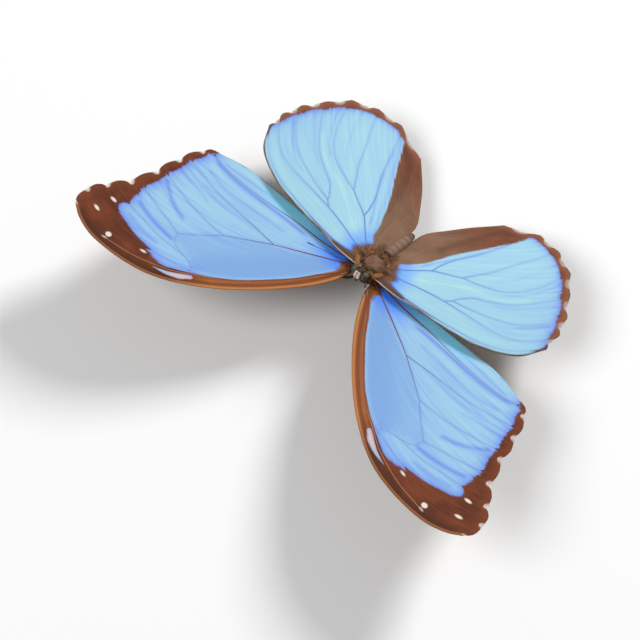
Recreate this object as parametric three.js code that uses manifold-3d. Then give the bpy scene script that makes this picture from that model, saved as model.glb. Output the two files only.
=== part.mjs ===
// A blue morpho butterfly (Morpho menelaus group, male), life size, standing with its wings held open.
//
// Millimetres. +X is the butterfly's left, -Y is the way it faces, +Z is up. The floor is Z = 0.
// The animal is laid out round a reference point, the middle of the body between the wing roots,
// which stands STANCE.height above the floor. At the end the whole model is slid along Y, so that
// the middle of its box comes over the origin.

import * as THREE from 'three';
import { mergeVertices } from 'three/addons/utils/BufferGeometryUtils.js';
import Module from 'manifold-3d';

const wasm = await Module();
wasm.setup();

// ---------------------------------------------------------------- driving dimensions

const STANCE = { height: 14, bodyPitch: 24 };   // mm above the floor, degrees head up
const JOINT_GAP = 0.12;                         // air left between neighbouring solids

const HEAD = {
  centre: [0, -4.85, 7.8],
  halfWidth: 1.75,
  halfLength: 1.3,
  halfHeight: 1.7,
  pitch: 38,
};
const EYE = { out: 1.62, forward: 0.4, up: 0.2, radii: [0.92, 1.08, 1.22] };
const PALP = {
  base: [0.45, -5.9, 6.9],
  bend: [0.52, -6.5, 7.9],
  tip: [0.45, -6.25, 9.15],
  radius: 0.42,
  endShare: 0.55,
};
const PROBOSCIS = { centre: [0, -6.2, 5.7], radius: 0.75, thickness: 0.55 };
const ANTENNA = {
  base: [0.7, -4.8, 9.1],
  length: 22,
  shaftRadius: 0.27,
  clubRadius: 0.42,
  clubShare: 0.17,
  clubTurn: 2.4,                                // radians of a sine that the club swells and falls by
  steps: 12,
  towards: { left: [0.255, -0.32, 0.913], right: [-0.373, -0.436, 0.818] },
};

const COLLAR = { centre: [0, -3.75, 6.1], radii: [2.35, 1.5, 2.3] };
const THORAX = {
  centre: [0, -0.4, 2.25],
  halfWidth: 3.5,
  halfHeight: 3.55,
  halfLength: 4.8,
  fullness: 2.5,
  endInset: 0.005,
  rings: 12,
};
const TEGULA = {
  inner: [2.3, -3.7, 6.0],
  outer: [4.0, -1.5, 6.3],
  halfWidth: 0.7,
  halfThickness: 0.45,
  endShare: 0.35,
};
const ABDOMEN = {
  axis: [[0, 3.0, 1.6], [0, 6.7, 0.3], [0, 9.5, -0.8], [0, 12.3, -1.95], [0, 15.4, -3.2]],
  halfWidth: 1.65,
  halfHeight: 1.75,
  rings: 7,
  stepsPerRing: 3,
  waist: 0.72,
  fullFrom: 0.35,
  taperFrom: 0.45,
  taperPower: 2.4,
  tipShare: 0.5,
  grooveDepth: 0.09,
  grooveSharpness: 8,
};

// Wing outlines for the left side, seen from above, as [outward, backward] from the reference point.
const FOREWING = {
  costa: [[2.6, -3.2], [3.9, -8.5], [10.9, -19.9], [24.5, -34.0], [37.5, -41.7], [52.8, -43.8], [59.4, -42.2],
    [62.7, -40.2]],
  stations: [[62.7, -40.2], [64.2, -34.9], [61.9, -30.4], [58.6, -25.5], [56.5, -18.7], [55.2, -12.0],
    [53.1, -5.7], [50.0, -3.0]],
  bow: 0.94,
  bowPower: 1,
  innerMargin: [[2.6, 0.6], [12.0, -0.5], [28.0, -0.6], [42.0, -0.9], [50.0, -3.0]],
  level: 0,
  riseOutward: 0.055,
  fallBackward: 0.2,
  rootLift: 3.0,
  camber: 0.25,
  costaLift: 1.6,
  foldDroop: 0,
  rows: 10,
  lobeSteps: 4,
};
const HINDWING = {
  costa: [[2.7, -3.1], [5.4, -3.1], [9.5, -2.9], [16.0, -2.1], [26.0, -1.0], [34.0, 0.8], [42.2, 5.2],
    [46.0, 11.4]],
  stations: [[46.0, 11.4], [46.0, 16.6], [44.3, 22.0], [40.8, 27.7], [36.8, 33.1], [30.5, 36.6],
    [23.6, 38.0], [14.2, 35.0]],
  bow: -0.5,
  bowPower: 2,
  innerMargin: [[2.5, 2.4], [1.8, 6.0], [1.2, 10.0], [1.0, 14.0], [1.6, 18.6], [4.6, 23.6], [8.5, 29.0],
    [14.2, 35.0]],
  level: 2.4,
  riseOutward: 0.069,
  fallBackward: 0.173,
  rootLift: 2.0,
  camber: 0.6,
  costaLift: 0,
  foldDroop: 5.9,
  rows: 8,
  lobeSteps: 3,
};
const WING_THICKNESS = { root: 0.9, margin: 0.5, rootShare: 1 / 3 };
const WING_ROOT_REACH = 9;                      // distance over which a wing bends up to its root
const MARGIN_CROWDING = 1.35;                   // over 1 sets the cross lines closer near the margin
const BEND = { costaPower: 8, costaFrom: 0.25, foldPower: 4.1, foldSpan: 0.68 };

// Joints of one left leg, hip to claw, from the reference point; radii run the same way.
const LEG = {
  mid: {
    hip: [1.4, -1.9, -0.5], sag: [4.7, -4.6, -3.2], knee: [8.0, -6.4, -3.3],
    ankle: [13.0, -8.8, -13.1], toe: [17.4, -11.2, -13.8],
  },
  hind: {
    hip: [1.3, 1.2, -1.2], sag: [4.2, 3.0, -4.3], knee: [7.4, 4.8, -4.2],
    ankle: [11.2, 9.3, -13.1], toe: [14.4, 13.6, -13.8],
  },
};
const LEG_RADIUS = { femur: 0.52, knee: 0.36, tibia: 0.34, ankle: 0.3, tarsus: 0.28, toe: 0.26 };
const TARSUS_SHARES = [0, 0.18, 0.4, 0.7, 1];   // stations from the ankle to the claw
const FORELEG = {
  hip: [1.2, -3.9, 2.4],
  bend: [1.7, -5.3, 2.1],
  tip: [1.4, -4.3, 0.3],
  radius: 0.32,
  tipShare: 0.8,
};
const SIDES = {
  head: 16, eye: 14, collar: 12, thorax: 16, abdomen: 12, proboscis: 14, scale: 8, antenna: 6, leg: 8,
};
const DROP_STEPS = 6;                           // lengths of a palp or of a wing-root scale
const MERGE_DISTANCE = 1e-5;

const COLOUR = {
  wing: 0x7fb4f0, hair: 0x9c7c5c, chitin: 0x3b322b, eye: 0x66706a, palp: 0xe9d3cb, antenna: 0x4a3a2e,
  abdomen: 0x86705f, tegula: 0xbf9a6b,
};

// ---------------------------------------------------------------- small helpers

const radians = THREE.MathUtils.degToRad;
const vector = (values) => new THREE.Vector3(...values);
const mirrored = (values, side) => [values[0] * side, values[1], values[2]];

function material(colour, roughness) {
  return new THREE.MeshStandardMaterial({ color: colour, roughness, metalness: 0 });
}

/** Geometry from a list of points and a list of triangles that name them. */
function geometryFrom(points, triangles) {
  const geometry = new THREE.BufferGeometry();
  geometry.setAttribute('position', new THREE.Float32BufferAttribute(points.flat(), 3));
  geometry.setIndex(triangles.flat());
  return geometry;
}

/** Two triangles for a four-sided face, corners in order. */
function quad(a, b, c, d) {
  return [[a, b, c], [a, c, d]];
}

function toManifold(geometry) {
  const bare = geometry.clone();
  bare.deleteAttribute('normal');
  bare.deleteAttribute('uv');
  const merged = mergeVertices(bare, MERGE_DISTANCE);
  const mesh = new wasm.Mesh({
    numProp: 3,
    vertProperties: new Float32Array(merged.attributes.position.array),
    triVerts: new Uint32Array(merged.index.array),
  });
  return new wasm.Manifold(mesh);
}

function fromManifold(solid) {
  const mesh = solid.getMesh();
  const geometry = new THREE.BufferGeometry();
  geometry.setAttribute('position', new THREE.BufferAttribute(new Float32Array(mesh.vertProperties), 3));
  geometry.setIndex(new THREE.BufferAttribute(new Uint32Array(mesh.triVerts), 1));
  return geometry;
}

/** The largest body of a geometry that is left when its neighbours' clearances are taken from it. */
function cutClear(geometry, clearances) {
  let solid = toManifold(geometry);
  for (const clearance of clearances) {
    solid = solid.subtract(toManifold(clearance));
  }
  const bodies = solid.decompose().sort((one, other) => other.volume() - one.volume());
  return fromManifold(bodies[0]);
}

// ---------------------------------------------------------------- forms

/** Ellipsoid with radii along X, Y and Z, pitched about X, its centre at the given place. */
function ellipsoid(centre, radii, pitch, grow, segments) {
  const bands = Math.round(segments * 0.6);
  const geometry = new THREE.SphereGeometry(1, segments, bands);
  geometry.scale(...radii.map((radius) => radius + grow));
  geometry.rotateX(radians(pitch));
  geometry.translate(...centre);
  return geometry;
}

/** Closed tube of round rings that don't twist along it; rings may be flattened, none is below the sole. */
function taperedTube(centres, radii, sides, sole = -Infinity, flattening = 1) {
  const points = [];
  const triangles = [];
  const across = new THREE.Vector3();
  const upward = new THREE.Vector3();
  const place = new THREE.Vector3();
  centres.forEach((centre, ring) => {
    const before = centres[Math.max(ring - 1, 0)];
    const after = centres[Math.min(ring + 1, centres.length - 1)];
    const along = after.clone().sub(before).normalize();
    if (ring === 0) {
      const guide = Math.abs(along.z) > 0.9 ? new THREE.Vector3(0, 1, 0) : new THREE.Vector3(0, 0, 1);
      across.crossVectors(along, guide);
    }
    across.addScaledVector(along, -across.dot(along)).normalize();
    upward.crossVectors(across, along);
    for (let side = 0; side < sides; side += 1) {
      const angle = (2 * Math.PI * (side + 0.5)) / sides;
      place.copy(centre);
      place.addScaledVector(across, radii[ring] * flattening * Math.cos(angle));
      place.addScaledVector(upward, radii[ring] * Math.sin(angle));
      points.push([place.x, place.y, Math.max(place.z, sole)]);
    }
  });
  const first = points.length;
  const last = first + 1;
  const start = centres[0];
  const end = centres[centres.length - 1];
  points.push([start.x, start.y, Math.max(start.z, sole)], [end.x, end.y, Math.max(end.z, sole)]);
  const lastRing = (centres.length - 1) * sides;
  for (let side = 0; side < sides; side += 1) {
    const next = (side + 1) % sides;
    triangles.push([first, side, next], [last, lastRing + next, lastRing + side]);
    for (let ring = 0; ring < centres.length - 1; ring += 1) {
      const low = ring * sides;
      const high = low + sides;
      triangles.push(...quad(low + side, high + side, high + next, low + next));
    }
  }
  return geometryFrom(points, triangles);
}

/** Points and radii along a smooth curve, for taperedTube. */
function alongCurve(places, steps, radiusAt) {
  const curve = new THREE.CatmullRomCurve3(places.map(vector), false, 'centripetal');
  const centres = curve.getSpacedPoints(steps);
  const radii = centres.map((centre, step) => radiusAt(step / steps));
  return { centres, radii };
}

/** Hump that is 1 in its middle and 0 at both ends; a higher fullness makes it squarer. */
function hump(share, fullness) {
  return Math.sqrt(Math.max(0, 1 - Math.abs(2 * share - 1) ** fullness));
}

// ---------------------------------------------------------------- wings

/** Margin from station to station: between two it bows outward, or inward where the bow is negative. */
function scallopedMargin(wing) {
  const points = [];
  for (let lobe = 0; lobe < wing.stations.length - 1; lobe += 1) {
    const [fromX, fromY] = wing.stations[lobe];
    const [toX, toY] = wing.stations[lobe + 1];
    const length = Math.hypot(toX - fromX, toY - fromY);
    const outX = (toY - fromY) / length;
    const outY = -(toX - fromX) / length;
    for (let step = 0; step < wing.lobeSteps; step += 1) {
      const share = step / wing.lobeSteps;
      const bulge = wing.bow * Math.sin(Math.PI * share) ** wing.bowPower;
      const x = THREE.MathUtils.lerp(fromX, toX, share) + outX * bulge;
      const y = THREE.MathUtils.lerp(fromY, toY, share) + outY * bulge;
      points.push([x, y]);
    }
  }
  points.push(wing.stations[wing.stations.length - 1]);
  return points;
}

/** Points of a smooth plan-view curve at the given shares of its length. */
function planCurve(points, shares) {
  const curve = new THREE.CatmullRomCurve3(points.map(([x, y]) => vector([x, y, 0])), false, 'centripetal');
  return shares.map((share) => {
    const point = curve.getPointAt(share);
    return [point.x, point.y];
  });
}

/** Shares from 0 to 1 whose steps grow shorter towards 1 where crowding is over 1. */
function sharesOf(steps, crowding = 1) {
  return Array.from({ length: steps + 1 }, (unused, step) => 1 - (1 - step / steps) ** crowding);
}

/** Point of the patch that four border curves span; u runs root to margin, v leading to trailing edge. */
function patchPoint(borders, row, column, u, v, axis) {
  const { lead, trail, root, outer } = borders;
  const rows = lead.length - 1;
  const ruled = (1 - v) * lead[row][axis] + v * trail[row][axis];
  const spanned = (1 - u) * root[column][axis] + u * outer[column][axis];
  const corners = (1 - u) * (1 - v) * lead[0][axis] + (1 - u) * v * trail[0][axis]
    + u * (1 - v) * lead[rows][axis] + u * v * trail[rows][axis];
  return ruled + spanned - corners;
}

/** Height of a wing's middle surface over the reference point. */
function wingHeight(wing, x, y, u, v) {
  const plane = wing.level + wing.riseOutward * x - wing.fallBackward * y;
  const fromRoot = Math.hypot(x - wing.costa[0][0], y - wing.costa[0][1]);
  const lift = wing.rootLift * Math.exp(-fromRoot / WING_ROOT_REACH);
  const camber = wing.camber * Math.sin(Math.PI * v) * Math.sqrt(u);
  const costaLift = wing.costaLift * (1 - v) ** BEND.costaPower * Math.min(1, u / BEND.costaFrom);
  const foldDroop = wing.foldDroop * v ** BEND.foldPower * Math.sin(BEND.foldSpan * Math.PI * u);
  return plane + lift + camber + costaLift - foldDroop;
}

/** A wing as one closed plate between its upper and its lower surface. */
function wingPlate(wing, side) {
  const outer = scallopedMargin(wing);
  const columns = outer.length - 1;
  const { rows } = wing;
  const across = sharesOf(columns);
  const outwards = sharesOf(rows, MARGIN_CROWDING);
  const lead = planCurve(wing.costa, outwards);
  const trail = planCurve(wing.innerMargin, outwards);
  const root = planCurve([wing.costa[0], wing.innerMargin[0]], across);
  const borders = { lead, trail, root, outer };
  const middle = [];
  for (let row = 0; row <= rows; row += 1) {
    for (let column = 0; column <= columns; column += 1) {
      const u = outwards[row];
      const v = across[column];
      const x = patchPoint(borders, row, column, u, v, 0);
      const y = patchPoint(borders, row, column, u, v, 1);
      middle.push(vector([x, y, wingHeight(wing, x, y, u, v)]));
    }
  }
  const at = (row, column) => row * (columns + 1) + column;
  const points = [];
  const triangles = [];
  const perLayer = middle.length;
  for (const layer of [1, -1]) {
    for (let row = 0; row <= rows; row += 1) {
      const towardsMargin = Math.min(1, row / rows / WING_THICKNESS.rootShare);
      const half = 0.5 * THREE.MathUtils.lerp(WING_THICKNESS.root, WING_THICKNESS.margin, towardsMargin);
      for (let column = 0; column <= columns; column += 1) {
        const outward = middle[at(Math.min(row + 1, rows), column)].clone();
        outward.sub(middle[at(Math.max(row - 1, 0), column)]);
        const backward = middle[at(row, Math.min(column + 1, columns))].clone();
        backward.sub(middle[at(row, Math.max(column - 1, 0))]);
        const normal = outward.cross(backward).normalize();
        const point = middle[at(row, column)].clone().addScaledVector(normal, layer * half);
        points.push([point.x * side, point.y, point.z]);
      }
    }
  }
  for (let row = 0; row < rows; row += 1) {
    for (let column = 0; column < columns; column += 1) {
      const top = [at(row, column), at(row, column + 1), at(row + 1, column + 1), at(row + 1, column)];
      const bottom = top.map((corner) => corner + perLayer).reverse();
      triangles.push(...quad(...top), ...quad(...bottom));
    }
  }
  const rim = [];
  for (let column = 0; column < columns; column += 1) rim.push(at(0, column));
  for (let row = 0; row < rows; row += 1) rim.push(at(row, columns));
  for (let column = columns; column > 0; column -= 1) rim.push(at(rows, column));
  for (let row = rows; row > 0; row -= 1) rim.push(at(row, 0));
  rim.forEach((corner, index) => {
    const next = rim[(index + 1) % rim.length];
    triangles.push(...quad(corner, corner + perLayer, next + perLayer, next));
  });
  if (side > 0) triangles.forEach((triangle) => triangle.reverse());
  return geometryFrom(points, triangles);
}

// ---------------------------------------------------------------- body

function headForm(grow) {
  const radii = [HEAD.halfWidth, HEAD.halfLength, HEAD.halfHeight];
  return ellipsoid(HEAD.centre, radii, HEAD.pitch, grow, SIDES.head);
}

function eyeForm(side, grow) {
  const centre = [
    side * EYE.out,
    HEAD.centre[1] - EYE.forward,
    HEAD.centre[2] + EYE.up,
  ];
  return ellipsoid(centre, EYE.radii, HEAD.pitch, grow, SIDES.eye);
}

/** Fat spindle of the middle and hind thorax, along the pitched body axis. */
function thoraxForm(grow) {
  const pitch = radians(STANCE.bodyPitch);
  const axis = new THREE.Vector3(0, Math.cos(pitch), -Math.sin(pitch));
  const half = THORAX.halfLength + grow;
  const centres = [];
  const radii = [];
  for (let ring = 0; ring <= THORAX.rings; ring += 1) {
    const share = 0.5 - (0.5 - THORAX.endInset) * Math.cos((Math.PI * ring) / THORAX.rings);
    centres.push(vector(THORAX.centre).addScaledVector(axis, (2 * share - 1) * half));
    radii.push((THORAX.halfHeight + grow) * hump(share, THORAX.fullness));
  }
  const flattening = (THORAX.halfWidth + grow) / (THORAX.halfHeight + grow);
  return taperedTube(centres, radii, SIDES.thorax, -Infinity, flattening);
}

/** Abdomen with a narrow waist, a full middle and shallow grooves between its rings. */
function abdomenForm(grow) {
  const steps = ABDOMEN.rings * ABDOMEN.stepsPerRing;
  const { centres, radii } = alongCurve(ABDOMEN.axis, steps, (share) => {
    const rise = Math.min(1, share / ABDOMEN.fullFrom);
    const swell = THREE.MathUtils.lerp(ABDOMEN.waist, 1, Math.sin(rise * Math.PI / 2));
    const beyond = Math.max(0, (share - ABDOMEN.taperFrom) / (1 - ABDOMEN.taperFrom));
    const taper = 1 - (1 - ABDOMEN.tipShare) * beyond ** ABDOMEN.taperPower;
    const betweenRings = Math.cos(Math.PI * share * ABDOMEN.rings) ** ABDOMEN.grooveSharpness;
    const groove = ABDOMEN.grooveDepth * betweenRings;
    return ABDOMEN.halfHeight * swell * taper - groove + grow;
  });
  return taperedTube(centres, radii, SIDES.abdomen, -Infinity, ABDOMEN.halfWidth / ABDOMEN.halfHeight);
}

function collarForm(grow) {
  return ellipsoid(COLLAR.centre, COLLAR.radii, STANCE.bodyPitch, grow, SIDES.collar);
}

/** Scale over a wing root: a flat drop between two places on the shoulder. */
function tegulaForm(side) {
  const places = [TEGULA.inner, TEGULA.outer];
  const { centres, radii } = alongCurve(places, DROP_STEPS, (share) => (
    TEGULA.halfThickness * THREE.MathUtils.lerp(TEGULA.endShare, 1, hump(share, 2))
  ));
  const flattening = TEGULA.halfWidth / TEGULA.halfThickness;
  const geometry = taperedTube(centres, radii, SIDES.scale, -Infinity, flattening);
  return side > 0 ? geometry : reflected(geometry);
}

/** The same solid on the other side of the body. */
function reflected(geometry) {
  const points = geometry.attributes.position;
  for (let index = 0; index < points.count; index += 1) {
    points.setX(index, -points.getX(index));
  }
  const corners = Array.from(geometry.index.array);
  geometry.setIndex(corners.reverse());
  return geometry;
}

function palpForm(side) {
  const places = [PALP.base, PALP.bend, PALP.tip];
  const { centres, radii } = alongCurve(places, DROP_STEPS, (share) => (
    PALP.radius * THREE.MathUtils.lerp(PALP.endShare, 1, hump(share, 2))
  ));
  const geometry = taperedTube(centres, radii, SIDES.scale);
  return side > 0 ? geometry : reflected(geometry);
}

function proboscisForm() {
  const { radius, thickness } = PROBOSCIS;
  const geometry = new THREE.CylinderGeometry(radius, radius, thickness, SIDES.proboscis);
  geometry.rotateZ(Math.PI / 2);
  geometry.translate(...PROBOSCIS.centre);
  return geometry;
}

function antennaForm(side) {
  const towards = vector(side > 0 ? ANTENNA.towards.left : ANTENNA.towards.right).normalize();
  const base = vector(mirrored(ANTENNA.base, side));
  const swelling = ANTENNA.clubRadius - ANTENNA.shaftRadius;
  const centres = [];
  const radii = [];
  for (let step = 0; step <= ANTENNA.steps; step += 1) {
    const share = step / ANTENNA.steps;
    centres.push(base.clone().addScaledVector(towards, ANTENNA.length * share));
    const intoClub = Math.max(0, (share - 1 + ANTENNA.clubShare) / ANTENNA.clubShare);
    radii.push(ANTENNA.shaftRadius + swelling * Math.sin(intoClub * ANTENNA.clubTurn));
  }
  return taperedTube(centres, radii, SIDES.antenna);
}

// ---------------------------------------------------------------- legs

/** One straight or bent length of a leg, shortened at both ends by the joint gap. */
function legLength(places, fromRadius, toRadius, side, sole) {
  const centres = places.map((place) => vector(mirrored(place, side)));
  const last = centres.length - 1;
  const trim = (end, neighbour) => end.lerp(neighbour, JOINT_GAP / end.distanceTo(neighbour));
  trim(centres[0], centres[1].clone());
  trim(centres[last], centres[last - 1].clone());
  const radii = centres.map((centre, index) => THREE.MathUtils.lerp(fromRadius, toRadius, index / last));
  return taperedTube(centres, radii, SIDES.leg, sole);
}

/** Stations along the tarsus: it comes down off the ankle and then lies along the floor. */
function tarsusPlaces(leg) {
  const places = [];
  for (const share of TARSUS_SHARES) {
    const level = share === 0 ? leg.ankle[2] : leg.toe[2];
    places.push([
      THREE.MathUtils.lerp(leg.ankle[0], leg.toe[0], share),
      THREE.MathUtils.lerp(leg.ankle[1], leg.toe[1], share),
      level,
    ]);
  }
  return places;
}

function addLeg(group, name, leg, side, suffix, clearances) {
  const shade = material(COLOUR.chitin, 0.6);
  const femur = legLength([leg.hip, leg.sag, leg.knee], LEG_RADIUS.femur, LEG_RADIUS.knee, side);
  const tibia = legLength([leg.knee, leg.ankle], LEG_RADIUS.tibia, LEG_RADIUS.ankle, side);
  const tarsus = legLength(tarsusPlaces(leg), LEG_RADIUS.tarsus, LEG_RADIUS.toe, side, -STANCE.height);
  addMesh(group, `${name}_femur_${suffix}`, cutClear(femur, clearances), shade);
  const knee = roomRound(leg.sag, leg.knee, LEG_RADIUS.knee, side);
  const ankle = roomRound(leg.knee, leg.ankle, LEG_RADIUS.ankle, side);
  addMesh(group, `${name}_tibia_${suffix}`, cutClear(tibia, [knee]), shade);
  addMesh(group, `${name}_tarsus_${suffix}`, cutClear(tarsus, [ankle]), shade);
}

/** Room round a straight length of leg, so that the next one starts clear of it. */
function roomRound(from, to, radius, side) {
  const centres = [from, to].map((place) => vector(mirrored(place, side)));
  return taperedTube(centres, [radius + JOINT_GAP, radius + JOINT_GAP], SIDES.leg);
}

function forelegForm(side) {
  const centres = [FORELEG.hip, FORELEG.bend, FORELEG.tip].map((place) => vector(mirrored(place, side)));
  const radii = [FORELEG.radius, FORELEG.radius, FORELEG.radius * FORELEG.tipShare];
  return taperedTube(centres, radii, SIDES.leg);
}

// ---------------------------------------------------------------- assembly

function addMesh(group, name, geometry, meshMaterial) {
  const mesh = new THREE.Mesh(geometry, meshMaterial);
  mesh.name = name;
  group.add(mesh);
}

function addHead(group) {
  const roundHead = [eyeForm(1, JOINT_GAP), eyeForm(-1, JOINT_GAP), thoraxForm(JOINT_GAP)];
  addMesh(group, 'head', cutClear(headForm(0), roundHead), material(COLOUR.hair, 0.9));
  for (const [side, suffix] of [[1, 'l'], [-1, 'r']]) {
    const clear = [headForm(JOINT_GAP)];
    addMesh(group, `eye_${suffix}`, eyeForm(side, 0), material(COLOUR.eye, 0.25));
    addMesh(group, `palp_${suffix}`, cutClear(palpForm(side), clear), material(COLOUR.palp, 0.9));
    addMesh(group, `antenna_${suffix}`, cutClear(antennaForm(side), clear), material(COLOUR.antenna, 0.6));
  }
  addMesh(group, 'proboscis', cutClear(proboscisForm(), [headForm(JOINT_GAP)]), material(COLOUR.chitin, 0.5));
}

function addTrunk(group) {
  const hair = material(COLOUR.hair, 0.95);
  const eyes = [eyeForm(1, JOINT_GAP), eyeForm(-1, JOINT_GAP)];
  const roundCollar = [headForm(JOINT_GAP), thoraxForm(JOINT_GAP), ...eyes];
  addMesh(group, 'collar', cutClear(collarForm(0), roundCollar), hair);
  addMesh(group, 'thorax', thoraxForm(0), hair);
  addMesh(group, 'abdomen', cutClear(abdomenForm(0), [thoraxForm(JOINT_GAP)]), material(COLOUR.abdomen, 0.9));
  for (const [side, suffix] of [[1, 'l'], [-1, 'r']]) {
    const clear = [thoraxForm(JOINT_GAP), collarForm(JOINT_GAP)];
    addMesh(group, `tegula_${suffix}`, cutClear(tegulaForm(side), clear), material(COLOUR.tegula, 0.9));
    addMesh(group, `foreleg_${suffix}`, cutClear(forelegForm(side), clear), material(COLOUR.chitin, 0.7));
  }
}

function addWings(group) {
  const clear = [thoraxForm(JOINT_GAP), abdomenForm(JOINT_GAP)];
  const shade = material(COLOUR.wing, 0.4);
  for (const [side, suffix] of [[1, 'l'], [-1, 'r']]) {
    addMesh(group, `forewing_${suffix}`, cutClear(wingPlate(FOREWING, side), clear), shade);
    addMesh(group, `hindwing_${suffix}`, cutClear(wingPlate(HINDWING, side), clear), shade);
  }
}

function addLegs(group) {
  const clear = [thoraxForm(JOINT_GAP)];
  for (const [side, suffix] of [[1, 'l'], [-1, 'r']]) {
    addLeg(group, 'midleg', LEG.mid, side, suffix, clear);
    addLeg(group, 'hindleg', LEG.hind, side, suffix, clear);
  }
}

function buildButterfly() {
  const butterfly = new THREE.Group();
  addHead(butterfly);
  addTrunk(butterfly);
  addWings(butterfly);
  addLegs(butterfly);
  const box = new THREE.Box3().setFromObject(butterfly);
  butterfly.position.set(0, -0.5 * (box.min.y + box.max.y), STANCE.height);
  return butterfly;
}

export default buildButterfly();
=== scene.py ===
"""The looks of a standing blue morpho butterfly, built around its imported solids.

Places and lengths are millimetres from the reference point, the middle of the body between the wing
roots: +X is the butterfly's left, -Y the way it faces, +Z up. They become metres when a mesh is made.
"""

import math

import bpy
import numpy as np
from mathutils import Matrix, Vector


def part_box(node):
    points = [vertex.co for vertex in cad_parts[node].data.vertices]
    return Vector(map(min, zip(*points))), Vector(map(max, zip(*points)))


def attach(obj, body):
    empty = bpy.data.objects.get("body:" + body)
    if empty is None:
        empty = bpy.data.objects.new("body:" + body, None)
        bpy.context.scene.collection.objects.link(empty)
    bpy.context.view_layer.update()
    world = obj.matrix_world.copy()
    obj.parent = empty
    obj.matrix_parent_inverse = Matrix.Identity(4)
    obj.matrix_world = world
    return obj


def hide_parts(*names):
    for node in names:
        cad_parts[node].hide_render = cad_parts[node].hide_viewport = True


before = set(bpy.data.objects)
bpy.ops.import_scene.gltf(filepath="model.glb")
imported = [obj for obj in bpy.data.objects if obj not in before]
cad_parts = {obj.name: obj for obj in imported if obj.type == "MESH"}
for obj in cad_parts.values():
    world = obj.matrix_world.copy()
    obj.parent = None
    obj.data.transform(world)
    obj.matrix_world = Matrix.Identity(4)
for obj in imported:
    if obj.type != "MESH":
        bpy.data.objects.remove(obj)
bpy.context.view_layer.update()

METRES = 0.001
GOLDEN_ANGLE = math.pi * (3 - math.sqrt(5))
TINY = 1e-9
ROUTE_STEP = 1.5
SIDES = (("l", 1), ("r", -1))

# ---------------------------------------------------------------- camera and studio

CAMERA = {
    "name": "camera", "aim": (-2.25, -17.27, -4.6), "azimuth": 42.31, "elevation": 67.39, "distance": 455,
    "lens": 102.4, "sensor": 36,
}
LIGHTS = [
    {"name": "key", "azimuth": 175, "elevation": 38, "power": 11.8, "size": 0.36},
    {"name": "second", "azimuth": -27, "elevation": 54, "power": 7.4, "size": 0.7},
]
LIGHT_DISTANCE = 1.2
SKY_STRENGTH = 0.2
FLOOR_SIZE = 6.0

# ---------------------------------------------------------------- the butterfly's plan

EYE = {"centre": (1.62, -5.25, 8), "radii": (0.92, 1.08, 1.22), "pitch": 38}
BODY_PITCH = 24

# Wing outlines and veins of the left side, seen from above, as (outward, backward).
FOREWING = {
    "costa": [(2.6, -3.2), (3.9, -8.5), (10.9, -19.9), (24.5, -34), (37.5, -41.7), (52.8, -43.8),
        (59.4, -42.2), (62.7, -40.2)],
    "stations": [(62.7, -40.2), (64.2, -34.9), (61.9, -30.4), (58.6, -25.5), (56.5, -18.7), (55.2, -12),
        (53.1, -5.7), (50, -3)],
    "bow": 0.94, "bow_power": 1,
    "inner": [(2.6, 0.6), (12, -0.5), (28, -0.6), (42, -0.9), (50, -3)],
    "level": 0, "rise_outward": 0.055, "fall_backward": 0.2, "root_lift": 3, "camber": 0.25,
    "costa_lift": 1.6, "fold_droop": 0,
}
HINDWING = {
    "costa": [(2.7, -3.1), (5.4, -3.1), (9.5, -2.9), (16, -2.1), (26, -1), (34, 0.8), (42.2, 5.2),
        (46, 11.4)],
    "stations": [(46, 11.4), (46, 16.6), (44.3, 22), (40.8, 27.7), (36.8, 33.1), (30.5, 36.6), (23.6, 38),
        (14.2, 35)],
    "bow": -0.5, "bow_power": 2,
    "inner": [(2.5, 2.4), (1.8, 6), (1.2, 10), (1, 14), (1.6, 18.6), (4.6, 23.6), (8.5, 29), (14.2, 35)],
    "level": 2.4, "rise_outward": 0.069, "fall_backward": 0.173, "root_lift": 2, "camber": 0.6,
    "costa_lift": 0, "fold_droop": 5.9,
}
WING_ROOT_REACH = 9
MARGIN_CROWDING = 1.35
BEND = {"costa_power": 8, "costa_from": 0.25, "fold_power": 4.1, "fold_span": 0.68}
WING_ROWS = 150
LOBE_STEPS = 20
# Half thickness of the membrane, and the room between its edge and the outline.
MEMBRANE = {"root": 0.34, "margin": 0.13, "root_share": 0.33}
FRINGE_ROOM = {"lobe": 0.12, "dip": 0.5}
FRINGE = {
    "spacing": 0.055, "lobe": 0.22, "dip": 0.7, "sunk": 0.08, "width": 0.075,
    "white": {"forewing": 1, "hindwing": 0.65},
}

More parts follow.
